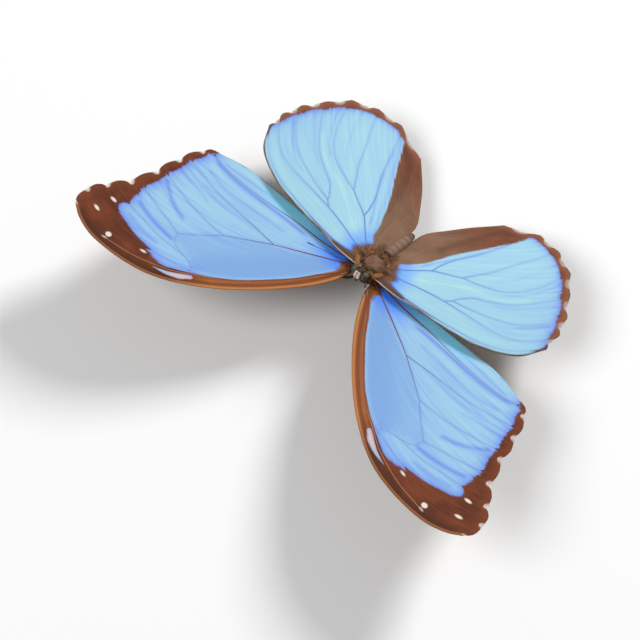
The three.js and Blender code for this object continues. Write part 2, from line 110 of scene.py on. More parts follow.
FOREWING_VEINS = {
    "radial": [(3.4, -5.6), (7.4, -10.5), (11.1, -16), (16.1, -22.1), (21.2, -27.6), (26.3, -31.7),
        (30.4, -34.3), (34, -36.7), (37.6, -38.3), (41, -39.6), (44.4, -40.6), (48.4, -41.3), (52, -41.9)],
    "subcostal": [(3.2, -6.4), (7.4, -11.8), (13, -19.2), (20.5, -27.6), (27, -33.4)],
    "fourth_radial": [(44, -39), (50, -39.4), (57.4, -38.9), (64.2, -37.4)],
    "first_median": [(30.8, -33.2), (35, -34.6), (41, -35.8), (48, -36.2), (56, -35.2), (64, -32.6)],
    "second_median": [(30.6, -32.9), (32.6, -31.6), (37, -31.3), (43, -31.6), (49, -31), (54.6, -30.2),
        (61, -28)],
    "cell_end": [(33.6, -31.4), (36.8, -30.9), (39.2, -30.2), (39.7, -29.2), (40.3, -27.7)],
    "third_median": [(40.3, -27.7), (44.4, -26.8), (49.2, -25.8), (54.7, -24.2), (58.4, -22.1)],
    "cubital": [(3.3, -3.4), (9.6, -6.2), (16.2, -9.6), (21.9, -12.8), (27.2, -16.4), (32.1, -19.9),
        (36.2, -24), (40.3, -27.7)],
    "first_cubital": [(32.1, -19.9), (36.2, -20), (41.4, -19.7), (47, -18.8), (53.8, -17.2), (56.8, -15.4)],
    "second_cubital": [(21.9, -12.8), (27.5, -12.5), (32.6, -12.3), (39, -12.2), (45.6, -11.4),
        (53.1, -9.7), (55, -8.9)],
    "anal": [(3.4, -2), (8.5, -3), (14, -3.4), (22, -3.7), (32, -4.8), (40.5, -5.3), (46.4, -5.2),
        (50.2, -4.3)],
}
HINDWING_VEINS = {
    "costal": [(3.4, -1.4), (9, -1.9), (17, -1.2), (26, 0.1), (34, 1.9), (40.4, 5.4), (45.7, 11)],
    "radial": [(3.4, 0.9), (8, 1.5), (12.1, 2.8), (15.6, 3.7), (19.1, 4.4), (23.6, 5), (28.2, 5.5),
        (33.2, 6.1), (37.6, 7.3), (41.2, 9.8), (44.2, 13.4), (45.9, 16.4)],
    "cell_end": [(19.1, 4.4), (20.7, 5.9), (21.3, 7.2)],
    "first_median": [(20.7, 5.9), (24.8, 6.9), (29.4, 8.4), (33.6, 10), (37.2, 12.2), (40.4, 15.4),
        (42.8, 18.8), (44.2, 21.8)],
    "second_median": [(21.3, 7.2), (23.6, 9.9), (27, 11.8), (30.8, 14.3), (34.2, 17.5), (37, 21.1),
        (39.7, 25.1), (40.7, 27.5)],
    "cubital": [(3.4, 2.2), (5.6, 3.5), (8.5, 6.3), (11.3, 9.1), (14.7, 11), (18.1, 12.8)],
    "third_median": [(18.1, 12.8), (21.6, 14), (25.3, 15.3), (28.7, 17.2), (31.6, 20.4), (34.3, 25.1),
        (36, 30.4), (36.7, 32.9)],
    "first_cubital": [(18.1, 12.8), (20.1, 16), (22.3, 19.4), (24.2, 23.6), (26.5, 28.2), (28.8, 33),
        (30.4, 36.4)],
    "second_cubital": [(11.3, 9.1), (12, 12.5), (13.4, 16.2), (15.9, 20.6), (18, 25.2), (19.6, 29.6),
        (21.6, 34.6), (23.5, 37.8)],
    "anal": [(3.2, 3.2), (4.8, 6.6), (5.6, 10.6), (6.6, 15.4), (8.4, 20.6), (10.6, 25.4), (12.6, 29.8),
        (14.4, 34.6)],
}
VEIN = {"spacing": 0.5, "half_width": 0.09, "taper": 0.07, "proud": (0.07, 0.02), "sides": 8}
# Extra half width of the veins near the root, and of the tan vein beyond the cell.
ROOT_SWELL = {"forewing": 0.28, "hindwing": 0.05}
TAN_VEIN = {"name": "radial", "from": 36, "extra": 0.11}

# Folds between the veins, where the blue turns violet: route, half width, strength.
FOREWING_FOLDS = [
    ([(16, -5.2), (23, -5), (31, -5.6), (39, -6), (46, -5.7), (50.2, -4.8)], 0.55, 1),
    ([(14, -2.4), (24, -2.2), (32, -2.8), (40, -3.6), (48, -4.4)], 0.35, 0.5),
    ([(21, -7.7), (27, -8.5), (33, -9.2), (41.5, -9.7), (49, -8.6)], 0.5, 0.6),
    ([(26, -12.6), (33, -13.4), (40, -13.8), (47, -12.6)], 0.45, 0.35),
    ([(41, -15.6), (46, -14.9), (50, -14.3), (54, -13.4)], 0.35, 0.6),
    ([(44.6, -13.6), (49.6, -12.6), (53, -11.7)], 0.28, 0.45),
    ([(41.5, -23.9), (45.4, -23), (48, -21.9), (51, -20), (53.6, -18.2)], 0.55, 0.95),
    ([(44.6, -22.7), (48.6, -21.8), (51.6, -21), (54.4, -20.3)], 0.25, 0.5),
    ([(38.9, -30), (42.4, -29.9), (46.8, -29.5), (50.6, -28.8), (54, -27.8)], 0.6, 1),
    ([(41, -33.6), (47, -33.4), (53, -32.2)], 0.5, 0.4),
]
HINDWING_FOLDS = [
    ([(22, 4.3), (28, 4.7), (34, 5.3), (39, 7.2)], 0.4, 0.35),
    ([(30, 7.4), (33.6, 8.2), (37.2, 10.9), (41, 15), (43, 17.6)], 0.4, 0.7),
    ([(28, 11.4), (33, 14.6), (37, 18.8), (41, 23.6)], 0.35, 0.5),
    ([(28, 15.2), (32.2, 19.2), (35.2, 24), (37.4, 29.4)], 0.4, 0.6),
    ([(24.6, 17.4), (28.2, 22), (31, 27.6), (33, 33.4)], 0.35, 0.4),
    ([(8, 7), (10.1, 11.1), (12.5, 15.2), (15.3, 19.6), (17.4, 24.6)], 0.4, 0.9),
    ([(11.4, 10.6), (12.4, 14.4), (15, 19.6), (17.8, 25.4), (20, 31)], 0.45, 0.55),
]
# Pale, slightly green lines along the middles of the cells.
FOREWING_GLEAMS = [
    ([(20, -1.2), (30, -1.4), (40, -2.2), (47, -3.4)], 0.8, 0.5),
    ([(24, -7), (33, -7.6), (42, -7.8), (50, -7)], 0.7, 0.8),
    ([(33, -16.4), (41, -17), (49, -16.4)], 1, 0.45),
    ([(42, -25.2), (48, -24), (53, -22.4)], 0.7, 0.5),
]
HINDWING_GLEAMS = [
    ([(6.6, 2.4), (12, 5.4), (17, 8.8), (22, 11.6), (27, 13.3), (32, 16.4), (36, 21)], 0.75, 1),
    ([(20, 3.2), (26, 4.1), (32, 5.2), (38, 6.8)], 0.5, 0.5),
    ([(14, 10.2), (18.4, 12), (23, 17.4), (27, 24)], 0.6, 0.3),
    ([(9.8, 9.8), (11.6, 14.6), (14.6, 19.6)], 0.5, 0.35),
]

# Where the blue field meets the brown, from the inner margin round to the leading edge. Each stretch
# between two veins bulges outward.
FOREWING_BLUE = {
    "outer": [(50.2, -3.4), (51.8, -5), (53.7, -9.6), (54.9, -16.8), (56.2, -23.9), (55.3, -27.9),
        (55.4, -31)],
    "bulge": [0.2, 0.9, 1, 1.2, 0.7, 0.5],
    "apex": [(55.4, -31), (56, -32), (55, -33.4), (51.8, -34.6), (47.2, -35.6), (43.4, -36.3),
        (39.2, -37.1), (35.9, -37), (32.2, -35.1), (29.6, -33.4)],
    "band": [(26.1, -31.2), (21.2, -27.3), (16.2, -21.8), (11.2, -15.8), (7.6, -10.4), (5.4, -6.6),
        (6.6, -4.6), (5, -3.6), (2, -2.4)],
    "inner": [(2, 1.6), (26, 1.2), (44, 0.6), (49.9, -2.6)],
}
CELL_END = [(39.7, -29.2), (39.2, -30.2), (33.6, -31.4), (30.6, -32.9)]
HINDWING_BLUE = {
    "outer": [(45.2, 11), (44.1, 15.7), (42.3, 20.6), (38.9, 25.9), (34.9, 30.9), (29, 34.5), (22, 35.9)],
    "bulge": [0.4, 0.5, 0.6, 0.6, 0.6, 0.4],
    "fold": [(22.4, 36.4), (20.8, 34.6), (18.9, 31.4), (16.7, 27.3), (14.9, 24.2), (13.3, 21.5),
        (11.6, 18.6), (10.1, 15.6), (8.9, 12.7), (7.3, 9.3), (5.9, 6.4), (4.2, 4.8)],
    "root": [(4.7, 3.7), (5, 2.4), (4.8, 1.6), (6.3, 1), (7.2, 0.5), (6.3, -1), (7.7, -1.7)],
    "rim_from": 0.2, "rim_width": 0.28, "fold_reach": {1: -1, -1: 0.8},
}
# Line of the hindwing's crease, darkened along it with painted shade.
HINDWING_CREASE = [(18.2, 34), (14.3, 30.7), (12, 25.9), (10.4, 21.5), (8.6, 16)]
# White marks of the forewing: place, half length, half width, heading in degrees.
WHITE_SPOTS = [
    ((51.3, -40.4), 0.85, 0.75, 0),
    ((58.8, -37), 1.1, 0.45, 12),
    ((57.8, -32.3), 1.05, 0.45, 4),
    ((42.3, -37.6), 1, 0.36, -11),
    ((51.4, -41.75), 0.8, 0.26, -10),
]
# Lilac patch below the leading edge: its middle line and half widths.
PATCH = {"route": [(29.2, -34.7), (31.2, -36.4), (33.6, -37.8), (35.8, -38.6), (37.6, -39.1)], "half": [0.7,
    0.95, 0.75, 0.42, 0.2]}
# Eye spots of the undersides: place, radius.
FOREWING_OCELLI = [((44, -33.2), 2), ((49.2, -22), 1.9), ((48, -14.6), 2.6)]
HINDWING_OCELLI = [((30.6, 8), 3.3), ((31.4, 24.4), 2.1), ((25.6, 26.8), 2.5), ((20.2, 28.4), 2.2)]

# ---------------------------------------------------------------- the body's plan

# Smooth balls of the skin: middle, half sizes less the depth of the coat, pitch. Those off the middle
# come in pairs.
SKIN_BALLS = [
    ((0, -4.85, 7.8), (1.5, 1.1, 1.4), 38),
    ((0, -5.55, 7.2), (0.75, 0.5, 0.75), 20),
    ((0, -3.75, 6.1), (1.95, 1.3, 1.9), 24),
    ((0, -3, 4.2), (2.5, 1.6, 1.9), 24),
    ((0, 0.3, 2.95), (2.75, 3.3, 2.5), -22),
    ((1.05, -0.4, 3.35), (1.65, 2.4, 2.1), -22),
    ((0, 2.9, 2.35), (1.25, 0.95, 1), -24),
    ((2.55, -2.1, 3.3), (0.8, 1.3, 0.95), -14),
    ((2.4, 1.3, 2.1), (0.85, 1.5, 1), -20),
    ((1.4, 3.6, 1.75), (0.8, 1.2, 0.7), -10),
    ((1.2, -1.9, 0), (0.75, 0.8, 0.9), 0),
    ((1.1, 1, -0.6), (0.75, 0.8, 0.7), 0),
]
THORAX = {"centre": (0, -0.4, 2.25), "half_width": 3.15, "half_height": 3.15, "half_length": 4.5}
ABDOMEN = {
    "axis": [(0, 3, 1.6), (0, 6.7, 0.3), (0, 9.5, -0.8), (0, 12.3, -1.95), (0, 15.3, -3.15)],
    "half_width": 1.5, "half_height": 1.6, "rings": 7, "ring_start": 0.1, "waist": 0.72, "tip": 0.5,
    "step": 0.2, "sunk": 0.05,
}
# The body's middle line from the side, as (backward, up), with its front end and its length.
BODY_AXIS = [(-7, 7.6), (-5, 7.6), (-3.7, 5.6), (-0.4, 2.25), (3.9, 1.2), (6.7, 0.3), (9.5, -0.8),
    (12.3, -1.95), (15.6, -3.2)]
BODY_FRONT, BODY_LENGTH = -7.2, 23.4
SKIN_VOXEL = 0.11
SKIN_SMOOTHING = 8
BODY_TUFTS = 15000
BODY_TUFT_SUNK = 0.05
TUFT_SUNK = 0.03
LOOSE_WIDTH, LOOSE_LIFT = 0.08, 0.1
# Lines on the back, as (outward, backward): painted shade in the gaps before and behind the shield, and a
# golden fringe.
SHADED_GAP_BEFORE_SHIELD = [(1.3, -2), (2.2, -1.8), (3.1, -1.7)]
SHADED_GAP_BEHIND_SHIELD = [(0, 2.35), (0.6, 2.3)]
GOLDEN_ARC = [(3.4, -0.2), (3.1, 1.6), (2.4, 2.6), (1.3, 3.3), (0, 3.6)]

PALP = {
    "line": [(0.36, -5.9, 6.9), (0.4, -6.4, 7.4), (0.41, -6.5, 8), (0.4, -6.3, 8.7), (0.36, -5.85, 9.4)],
    "radius": 0.42, "flat": 1, "blunt": 0.65, "steps": 18, "sides": 14, "lie": (0, -0.25, 1),
}
TEGULA = {
    "line": [(2.3, -3.6, 6), (2.9, -2.9, 6.15), (3.5, -2.15, 6.2), (3.95, -1.55, 6.25)],
    "radius": 0.33, "flat": 1.5, "blunt": 0.35, "steps": 22, "sides": 18, "lie": (0.75, 0.62, -0.2),
}
PROBOSCIS = {
    "centre": (0, -6.2, 5.7), "radius": 0.58, "inner_share": 0.22, "thickness": 0.15, "flat": 1.5,
    "turns": 2.3, "start": 1.9,
}
ANTENNA = {
    "base": (0.7, -4.75, 8.95), "towards": {1: (0.255, -0.32, 0.913), -1: (-0.373, -0.436, 0.818)},
    "length": 22.15, "shaft": 0.06, "club": 0.14, "club_share": 0.17, "rings": 44,
    "socket": (0.68, -4.72, 8.9), "socket_radii": (0.3, 0.3, 0.22),
}
# Hip, sag of the femur, knee, ankle and toe.
LEGS = {
    "midleg": [(1.4, -1.9, -0.5), (4.7, -4.6, -3.2), (8, -6.4, -3.3), (13, -8.8, -13.1),
        (17.4, -11.2, -13.8)],
    "hindleg": [(1.3, 1.2, -1.2), (4.2, 3, -4.3), (7.4, 4.8, -4.2), (11.2, 9.3, -13.1), (14.4, 13.6, -13.8)],
}
# Radii of the legs' parts, and where the rings of the tarsus end along it.
FEMUR, TIBIA, TARSUS, SLEEVE = 0.42, 0.27, 0.17, 0.3
TARSUS_RINGS = (0.36, 0.58, 0.76, 1)
# A claw, as (ahead, aside, up) from the tip of the tarsus.
CLAW = [(-0.1, 0, 0), (0.12, 0.12, 0.06), (0.26, 0.16, -0.06)]
LEG_SPINES = 14
FORELEG = {"line": [(1.2, -3.9, 2.4), (1.7, -5.3, 2.1), (1.4, -4.3, 0.3)], "radius": 0.2, "tip": 0.14}
FLOOR_LEVEL = -14

# Short coats of the small parts, with the share of each shade.
SHADES = ("white", "orange", "dark", "grey")
FUR = {
    "palp": {"slot": "palp", "shades": (0.97, 0.1, 0, 0), "count": 520, "spread": 0.2, "length": 0.26,
        "width": 0.1, "lift": 0.16, "parting": 0.26},
    "sleeve": {"slot": "body_hair", "shades": (0.12, 0.2, 0.35, 0.3), "count": 500, "spread": 0.15,
        "length": 0.3, "width": 0.1, "lift": 0.2},
    "foreleg": {"slot": "body_hair", "shades": (0.2, 0.25, 0.2, 0.3), "count": 500, "spread": 0.3,
        "length": 0.4, "width": 0.07, "lift": 0.3},
    "tegula": {"slot": "tegula", "shades": (0, 1, 0, 0), "count": 900, "spread": 0.25, "length": 0.55,
        "width": 0.08, "lift": 0.25},
}
# Strands of hair on the wings near the body: middle line, half width, length, orange and dark, count.
WING_HAIR = {
    "forewing": [([(3.4, -4.4), (5.2, -6.2), (7, -8.2)], 0.6, 1.3, 0.8, 0.1, 60)],
    "hindwing": [
        ([(2.9, -1.2), (5, -0.7), (6.9, 0.1)], 0.42, 1.15, 0.9, 0, 150),
        ([(3.4, 0.9), (4.8, 1.2), (6.2, 1)], 0.2, 0.9, 0.9, 0, 70),
        ([(3, 1.6), (2.6, 2.6), (1.6, 3.4)], 0.3, 1, 0.9, 0, 90),
        ([(3.7, 1.9), (4, 3.2), (4.2, 4.9)], 0.24, 1.2, 0.9, 0, 70),
        # These all-dark strands at the wing's root stand for the shade in the gap there: painted shade.
        ([(3.5, -0.3), (4.2, 0.1)], 0.5, 0.6, 0, 1, 130),
        ([(2.2, 3), (2.4, 5), (2.2, 8)], 0.7, 1.6, 0.2, 0.25, 200),
    ],
}
# Places along a strand and how many of them bear hairs, and how far a hair may root off the wing's chart.
STRAND = {"places": 40, "rooted": 28, "sunk": 0.04, "width": 0.06, "off_wing": 0.3}
# Loose tufts of the neck and the waist: root, lie, length, spread, orange, white and dark, count.
TUFTS = [
    ((1.25, -2.9, 6.6), (0.66, -0.7, 0.1), 1.5, 0.16, 0.95, 0, 0, 26),
    ((1.15, -3.6, 7.6), (0.8, -0.5, 0.2), 0.7, 0.08, 0.1, 0.9, 0, 7),
    ((0.35, -4.2, 8.1), (0.3, -0.6, 0.6), 0.5, 0.16, 0.9, 0, 0, 14),
    ((1.35, 3.4, 1.9), (0.22, 1, -0.3), 2.2, 0.3, 0.25, 0, 0.45, 90),
]

# ---------------------------------------------------------------- small helpers


def reference_point():
    """Where the reference point stands in the frame, found from an eye, which is a whole solid."""
    low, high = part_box("eye_l")
    middle = 0.5 * (np.array(low) + np.array(high)) / METRES
    return middle - np.array(EYE["centre"])


REFERENCE = reference_point()


def unit(vectors):
    vectors = np.asarray(vectors, float)
    return vectors / np.maximum(np.linalg.norm(vectors, axis=-1, keepdims=True), TINY)


def smooth(value, low, high):
    """0 below low, 1 above high, and a smooth step between."""
    share = np.clip((np.asarray(value, float) - low) / (high - low), 0, 1)
    return share * share * (3 - 2 * share)


def between(share, low, high):
    return low + (high - low) * share


def mirror(points, side):
    return np.array(points, float) * [side, 1, 1]


def run_along(line):
    """Length along a line of points, at each of them."""
    steps = np.linalg.norm(np.diff(np.array(line, float), axis=0), axis=1)
    return np.concatenate([[0], np.cumsum(steps)])


def spline(points, shares):
    """Centripetal Catmull-Rom curve through the points, at shares of its length or a number of places."""
    ends = np.array(points, float)
    ends = np.vstack([2 * ends[0] - ends[1], ends, 2 * ends[-1] - ends[-2]])
    t = np.linspace(0, 1, 60, endpoint=False)[:, None]
    stretches = []
    for a, b, c, d in zip(ends, ends[1:], ends[2:], ends[3:]):
        before, here, after = (max(np.linalg.norm(q - p), TINY) ** 0.5 for p, q in ((a, b), (b, c), (c, d)))
        leaving = ((b - a) / before - (c - a) / (before + here) + (c - b) / here) * here
        arriving = ((c - b) / here - (d - b) / (here + after) + (d - c) / after) * here
        stretches.append(
            b * (2 * t**3 - 3 * t**2 + 1) + leaving * (t**3 - 2 * t**2 + t)
            + c * (3 * t**2 - 2 * t**3) + arriving * (t**3 - t**2)
        )
    curve = np.vstack([*stretches, ends[-2:-1]])
    run = run_along(curve)
    wanted = (np.linspace(0, 1, shares) if np.ndim(shares) == 0 else shares) * run[-1]
    return np.stack([np.interp(wanted, run, axis) for axis in curve.T], axis=1)


def even_spline(points, spacing):
    """The same curve at even steps of about the given length."""
    return spline(points, max(int(run_along(points)[-1] / spacing), 3))


def route_distance(places, route):
    """Distance of places to a line of points, and the share of the line where it is nearest."""
    route = np.array(route, float)
    run = run_along(route)
    best = np.full(len(places), np.inf)
    share = np.zeros(len(places))
    for start, step, before in zip(route, np.diff(route, axis=0), run):
        length = np.linalg.norm(step)
        reach = np.clip((places - start) @ step / max(length**2, TINY), 0, 1)
        gap = np.linalg.norm(places - start - reach[:, None] * step, axis=1)
        nearer = gap < best
        best[nearer] = gap[nearer]
        share[nearer] = (before + reach[nearer] * length) / run[-1]
    return best, share


def away_from(places, route):
    return route_distance(places, route)[0]


def inside(places, polygon):
    """Whether plan places lie inside a closed line of points."""
    within = np.zeros(len(places), bool)
    x, y = places.T
    for (ax, ay), (bx, by) in zip(polygon, np.roll(polygon, -1, axis=0)):
        crosses = (ay > y) != (by > y)
        within ^= crosses & (x < ax + (y - ay) * (bx - ax) / (by - ay if by != ay else TINY))
    return within


def signed_distance(places, border):
    """Distance to a closed line, positive inside it."""
    distance = away_from(places, np.vstack([border, border[:1]]))
    return np.where(inside(places, border), distance, -distance)


def stepped(points, steps):
    """Even steps along a line's stretches: places, the way out to their left, shares of the stretch."""
    points = np.array(points, float)
    way = np.repeat(np.diff(points, axis=0), steps, axis=0)
    share = np.tile(np.arange(steps) / steps, len(points) - 1)
    out = unit(np.stack([way[:, 1], -way[:, 0]], axis=1))
    return np.repeat(points[:-1], steps, axis=0) + way * share[:, None], out, share


def bulging(points, bulges, steps=10):
    """A line of points whose stretches bow outward."""
    line, out, share = stepped(points, steps)
    bow = np.repeat(bulges, steps) * np.sin(np.pi * share) ** 0.45
    return np.vstack([line + out * bow[:, None], points[-1:]])


def new_mesh(name, points, faces, fields=None, uv=None, slot_of_face=None, side=1):
    """Object from points in millimetres and lists of faces, mirrored for the right side.

    The fields are numbers that the points carry.
    """
    mesh = bpy.data.meshes.new(name)
    places = (np.asarray(points, float) * [side, 1, 1] + REFERENCE) * METRES
    faces = [np.asarray(group)[:, ::side] for group in faces]
    corners = np.concatenate([group.ravel() for group in faces])
    sizes = np.concatenate([np.full(len(group), group.shape[1]) for group in faces])
    mesh.vertices.add(len(places))
    mesh.vertices.foreach_set("co", places.astype(np.float32).ravel())
    mesh.loops.add(len(corners))
    mesh.loops.foreach_set("vertex_index", corners.astype(np.int32))
    mesh.polygons.add(len(sizes))
    mesh.polygons.foreach_set("loop_start", (np.cumsum(sizes) - sizes).astype(np.int32))
    mesh.polygons.foreach_set("use_smooth", np.ones(len(sizes), bool))
    if slot_of_face is not None:
        mesh.polygons.foreach_set("material_index", np.asarray(slot_of_face, np.int32))
    mesh.update(calc_edges=True)
    for field, values in (fields or {}).items():
        made = mesh.attributes.new(field, "FLOAT", "POINT")
        made.data.foreach_set("value", np.asarray(values, np.float32))
    if uv is not None:
        layer = mesh.uv_layers.new(name="OFBake")
        layer.data.foreach_set("uv", np.asarray(uv, np.float32)[corners].ravel())
    made = bpy.data.objects.new(name, mesh)
    bpy.context.scene.collection.objects.link(made)
    return made


def dress(piece, materials, slot, *nodes):
    """Gives a piece its materials and its body, and hides the solids that it stands for."""
    for material in materials:
        piece.data.materials.append(material)
    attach(piece, "root")
    if nodes:
        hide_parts(*nodes)


# ---------------------------------------------------------------- coat

TUFT_POINTS = 7


def build_coat(name, look, slot, roots, normals, lies, lengths, widths, lifts, fields, uv, side=1):
    """Tufts as solid three-sided spikes; each leaves its root at a lift and bends down to the lie."""
    count = len(roots)
    length, width, lift = (np.broadcast_to(value, count)[:, None] for value in (lengths, widths, lifts))
    across = unit(np.cross(normals, lies))
    lies = unit(np.cross(across, normals))
    first = lies * np.cos(lift) + normals * np.sin(lift)
    second = lies * np.cos(0.45 * lift) + normals * np.sin(0.45 * lift)
    middle = roots + first * length * 0.5
    upward = unit(np.cross(across, first))
    upward = np.where((upward * normals).sum(axis=1, keepdims=True) < 0, -upward, upward)
    points = np.stack([
        roots - across * width * 0.5, roots + across * width * 0.5, roots + upward * width * 0.42,
        middle - across * width * 0.45, middle + across * width * 0.45, middle + upward * width * 0.36,
        middle + second * length * 0.5,
    ], axis=1)
    base = TUFT_POINTS * np.arange(count)[:, None, None]
    quads = base + [[0, 1, 4, 3], [1, 2, 5, 4], [2, 0, 3, 5]]
    triangles = base + [[0, 2, 1], [3, 4, 6], [4, 5, 6], [5, 3, 6]]
    carried = {field: np.repeat(values, TUFT_POINTS) for field, values in fields.items()}
    carried["tip"] = np.tile([0, 0, 0, 0.5, 0.5, 0.5, 1], count)
    patch = 0.0015 * np.array([[-1, -1], [1, -1], [0, -0.4], [-1, 0.3], [1, 0.3], [0, 0.5], [0, 1]])
    uv = np.clip(uv[:, None] + patch, 0.001, 0.999).reshape(-1, 2)
    faces = [quads.reshape(-1, 4), triangles.reshape(-1, 3)]
    dress(new_mesh(name, points.reshape(-1, 3), faces, carried, uv, side=side), [look], slot)


# ---------------------------------------------------------------- wings


def scalloped_margin(wing):
    """Edge of the membrane, and how far out each place stands between a dip, 0, and a lobe's top, 1."""
    line, out, share = stepped(wing["stations"], LOBE_STEPS)
    bow = np.sin(np.pi * share) ** wing["bow_power"]
    standing = bow.copy() if wing["bow"] > 0 else 1 - bow
    room = between(np.minimum(1, 1.5 * standing), FRINGE_ROOM["dip"], FRINGE_ROOM["lobe"])
    line = line + out * (wing["bow"] * bow - room)[:, None]
    line[0] = wing["stations"][0]
    standing[0] = 1
    return np.vstack([line, wing["stations"][-1:]]), np.append(standing, 1)


class Wing:
    """Middle surface of a left wing: rows run from root to margin, columns from costa to inner edge."""

    def __init__(self, wing):
        outer, self.standing = scalloped_margin(wing)
        u = 1 - (1 - np.linspace(0, 1, WING_ROWS + 1)) ** MARGIN_CROWDING
        v = np.linspace(0, 1, len(outer))
        self.u, self.v = np.meshgrid(u, v, indexing="ij")
        root = spline([wing["costa"][0], wing["inner"][0]], v)
        self.plan = self.patch(spline(wing["costa"], u), spline(wing["inner"], u), root, outer)
        self.middle = np.dstack([self.plan, self.height(wing, *np.moveaxis(self.plan, 2, 0))])
        self.normal = unit(np.cross(np.gradient(self.middle, axis=0), np.gradient(self.middle, axis=1)))
        towards_margin = np.clip(self.u / MEMBRANE["root_share"], 0, 1)
        self.half = between(towards_margin, MEMBRANE["root"], MEMBRANE["margin"])

    def patch(self, lead, trail, root, outer):
        """Coons patch that spans the four borders."""
        u, v = self.u[..., None], self.v[..., None]
        ruled = (1 - v) * lead[:, None] + v * trail[:, None]
        spanned = (1 - u) * root + u * outer
        first = (1 - v) * lead[0] + v * trail[0]
        last = (1 - v) * lead[-1] + v * trail[-1]
        return ruled + spanned - (1 - u) * first - u * last

    def height(self, wing, x, y):
        plane = wing["level"] + wing["rise_outward"] * x - wing["fall_backward"] * y
        from_root = np.hypot(x - wing["costa"][0][0], y - wing["costa"][0][1])
        lift = wing["root_lift"] * np.exp(-from_root / WING_ROOT_REACH)
        camber = wing["camber"] * np.sin(np.pi * self.v) * np.sqrt(self.u)
        by_costa = (1 - self.v) ** BEND["costa_power"] * np.minimum(1, self.u / BEND["costa_from"])
        by_fold = self.v ** BEND["fold_power"] * np.sin(BEND["fold_span"] * np.pi * self.u)
        return plane + lift + camber + wing["costa_lift"] * by_costa - wing["fold_droop"] * by_fold

    def locate(self, places):
        """Fractional row and column of plan places."""
        rows, columns = self.u.shape
        flat = self.plan.reshape(-1, 2)
        nearest = np.array([np.argmin(((flat - place) ** 2).sum(axis=1)) for place in places])
        row, column = (nearest // columns).astype(float), (nearest % columns).astype(float)
        by_row, by_column = np.gradient(self.plan, axis=0), np.gradient(self.plan, axis=1)
        for _ in range(3):
            here, a, b = (self.sample(grid, row, column) for grid in (self.plan, by_row, by_column))
            miss = places - here
            spread = a[:, 0] * b[:, 1] - a[:, 1] * b[:, 0]
            spread = np.where(np.abs(spread) < TINY, TINY, spread)
            down = (miss[:, 0] * b[:, 1] - miss[:, 1] * b[:, 0]) / spread
            aside = (a[:, 0] * miss[:, 1] - a[:, 1] * miss[:, 0]) / spread
            row, column = np.clip(row + down, 0, rows - 1), np.clip(column + aside, 0, columns - 1)
        return row, column

    def sample(self, grid, row, column):
        """A grid's values at fractional rows and columns."""
        r = np.clip(row.astype(int), 0, grid.shape[0] - 2)
        c = np.clip(column.astype(int), 0, grid.shape[1] - 2)
        p, q = row - r, column - c
        if grid.ndim == 3:
            p, q = p[:, None], q[:, None]
        near = grid[r, c] * (1 - q) + grid[r, c + 1] * q
        far = grid[r + 1, c] * (1 - q) + grid[r + 1, c + 1] * q
        return near * (1 - p) + far * p


def soft_line(distance, half_width):
    """1 on a line, fading out to its sides."""
    return np.exp(-((distance / half_width) ** 2))


def streaks(places, lines):
    """How strongly a set of soft lines marks each place, 0 to 1."""
    mark = np.zeros(len(places))
    for route, half_width, strength in lines:
        distance, share = route_distance(places, even_spline(route, ROUTE_STEP))
        fade = smooth(share, 0, 0.12) * smooth(1 - share, 0, 0.08)
        mark = np.maximum(mark, strength * fade * soft_line(distance, half_width))
    return mark


def vein_shade(places, veins, half_width):
    """How close each place is to a vein, 1 on it."""
    lines = [away_from(places, even_spline(route, ROUTE_STEP)) for route in veins.values()]
    return soft_line(np.min(lines, axis=0), half_width)


def forewing_border():
    """Closed line round the forewing's blue field."""
    return np.vstack([
        bulging(FOREWING_BLUE["outer"], FOREWING_BLUE["bulge"]), spline(FOREWING_BLUE["apex"], 40)[1:],
        FOREWING_BLUE["band"], FOREWING_BLUE["inner"],
    ])


def hindwing_border():
    """Closed line round the hindwing's blue field."""
    costa = spline(HINDWING["costa"], np.linspace(HINDWING_BLUE["rim_from"], 0.97, 40))
    along = unit(np.gradient(costa, axis=0))
    inward = np.stack([-along[:, 1], along[:, 0]], axis=1)
    return np.vstack([
        bulging(HINDWING_BLUE["outer"], HINDWING_BLUE["bulge"]), HINDWING_BLUE["fold"][1:],
        HINDWING_BLUE["root"], costa + inward * HINDWING_BLUE["rim_width"],
    ])


def wedged(field, places, veins, depth):
    """The blue field's distance with a narrow brown wedge running in along each vein."""
    near = vein_shade(places, veins, 0.3)
    return field - depth * near * smooth(field, 3, 0) * smooth(field, -2, -0.5)


def white_spots(places):
    """Distance inside the nearest white mark, negative outside them all."""
    inward = np.full(len(places), -9.0)
    for middle, long, short, heading in WHITE_SPOTS:
        cosine, sine = math.cos(math.radians(heading)), math.sin(math.radians(heading))
        x, y = (places - middle).T
        reach = np.hypot((x * cosine + y * sine) / long, (y * cosine - x * sine) / short)
        inward = np.maximum(inward, (1 - reach) * short)
    return inward


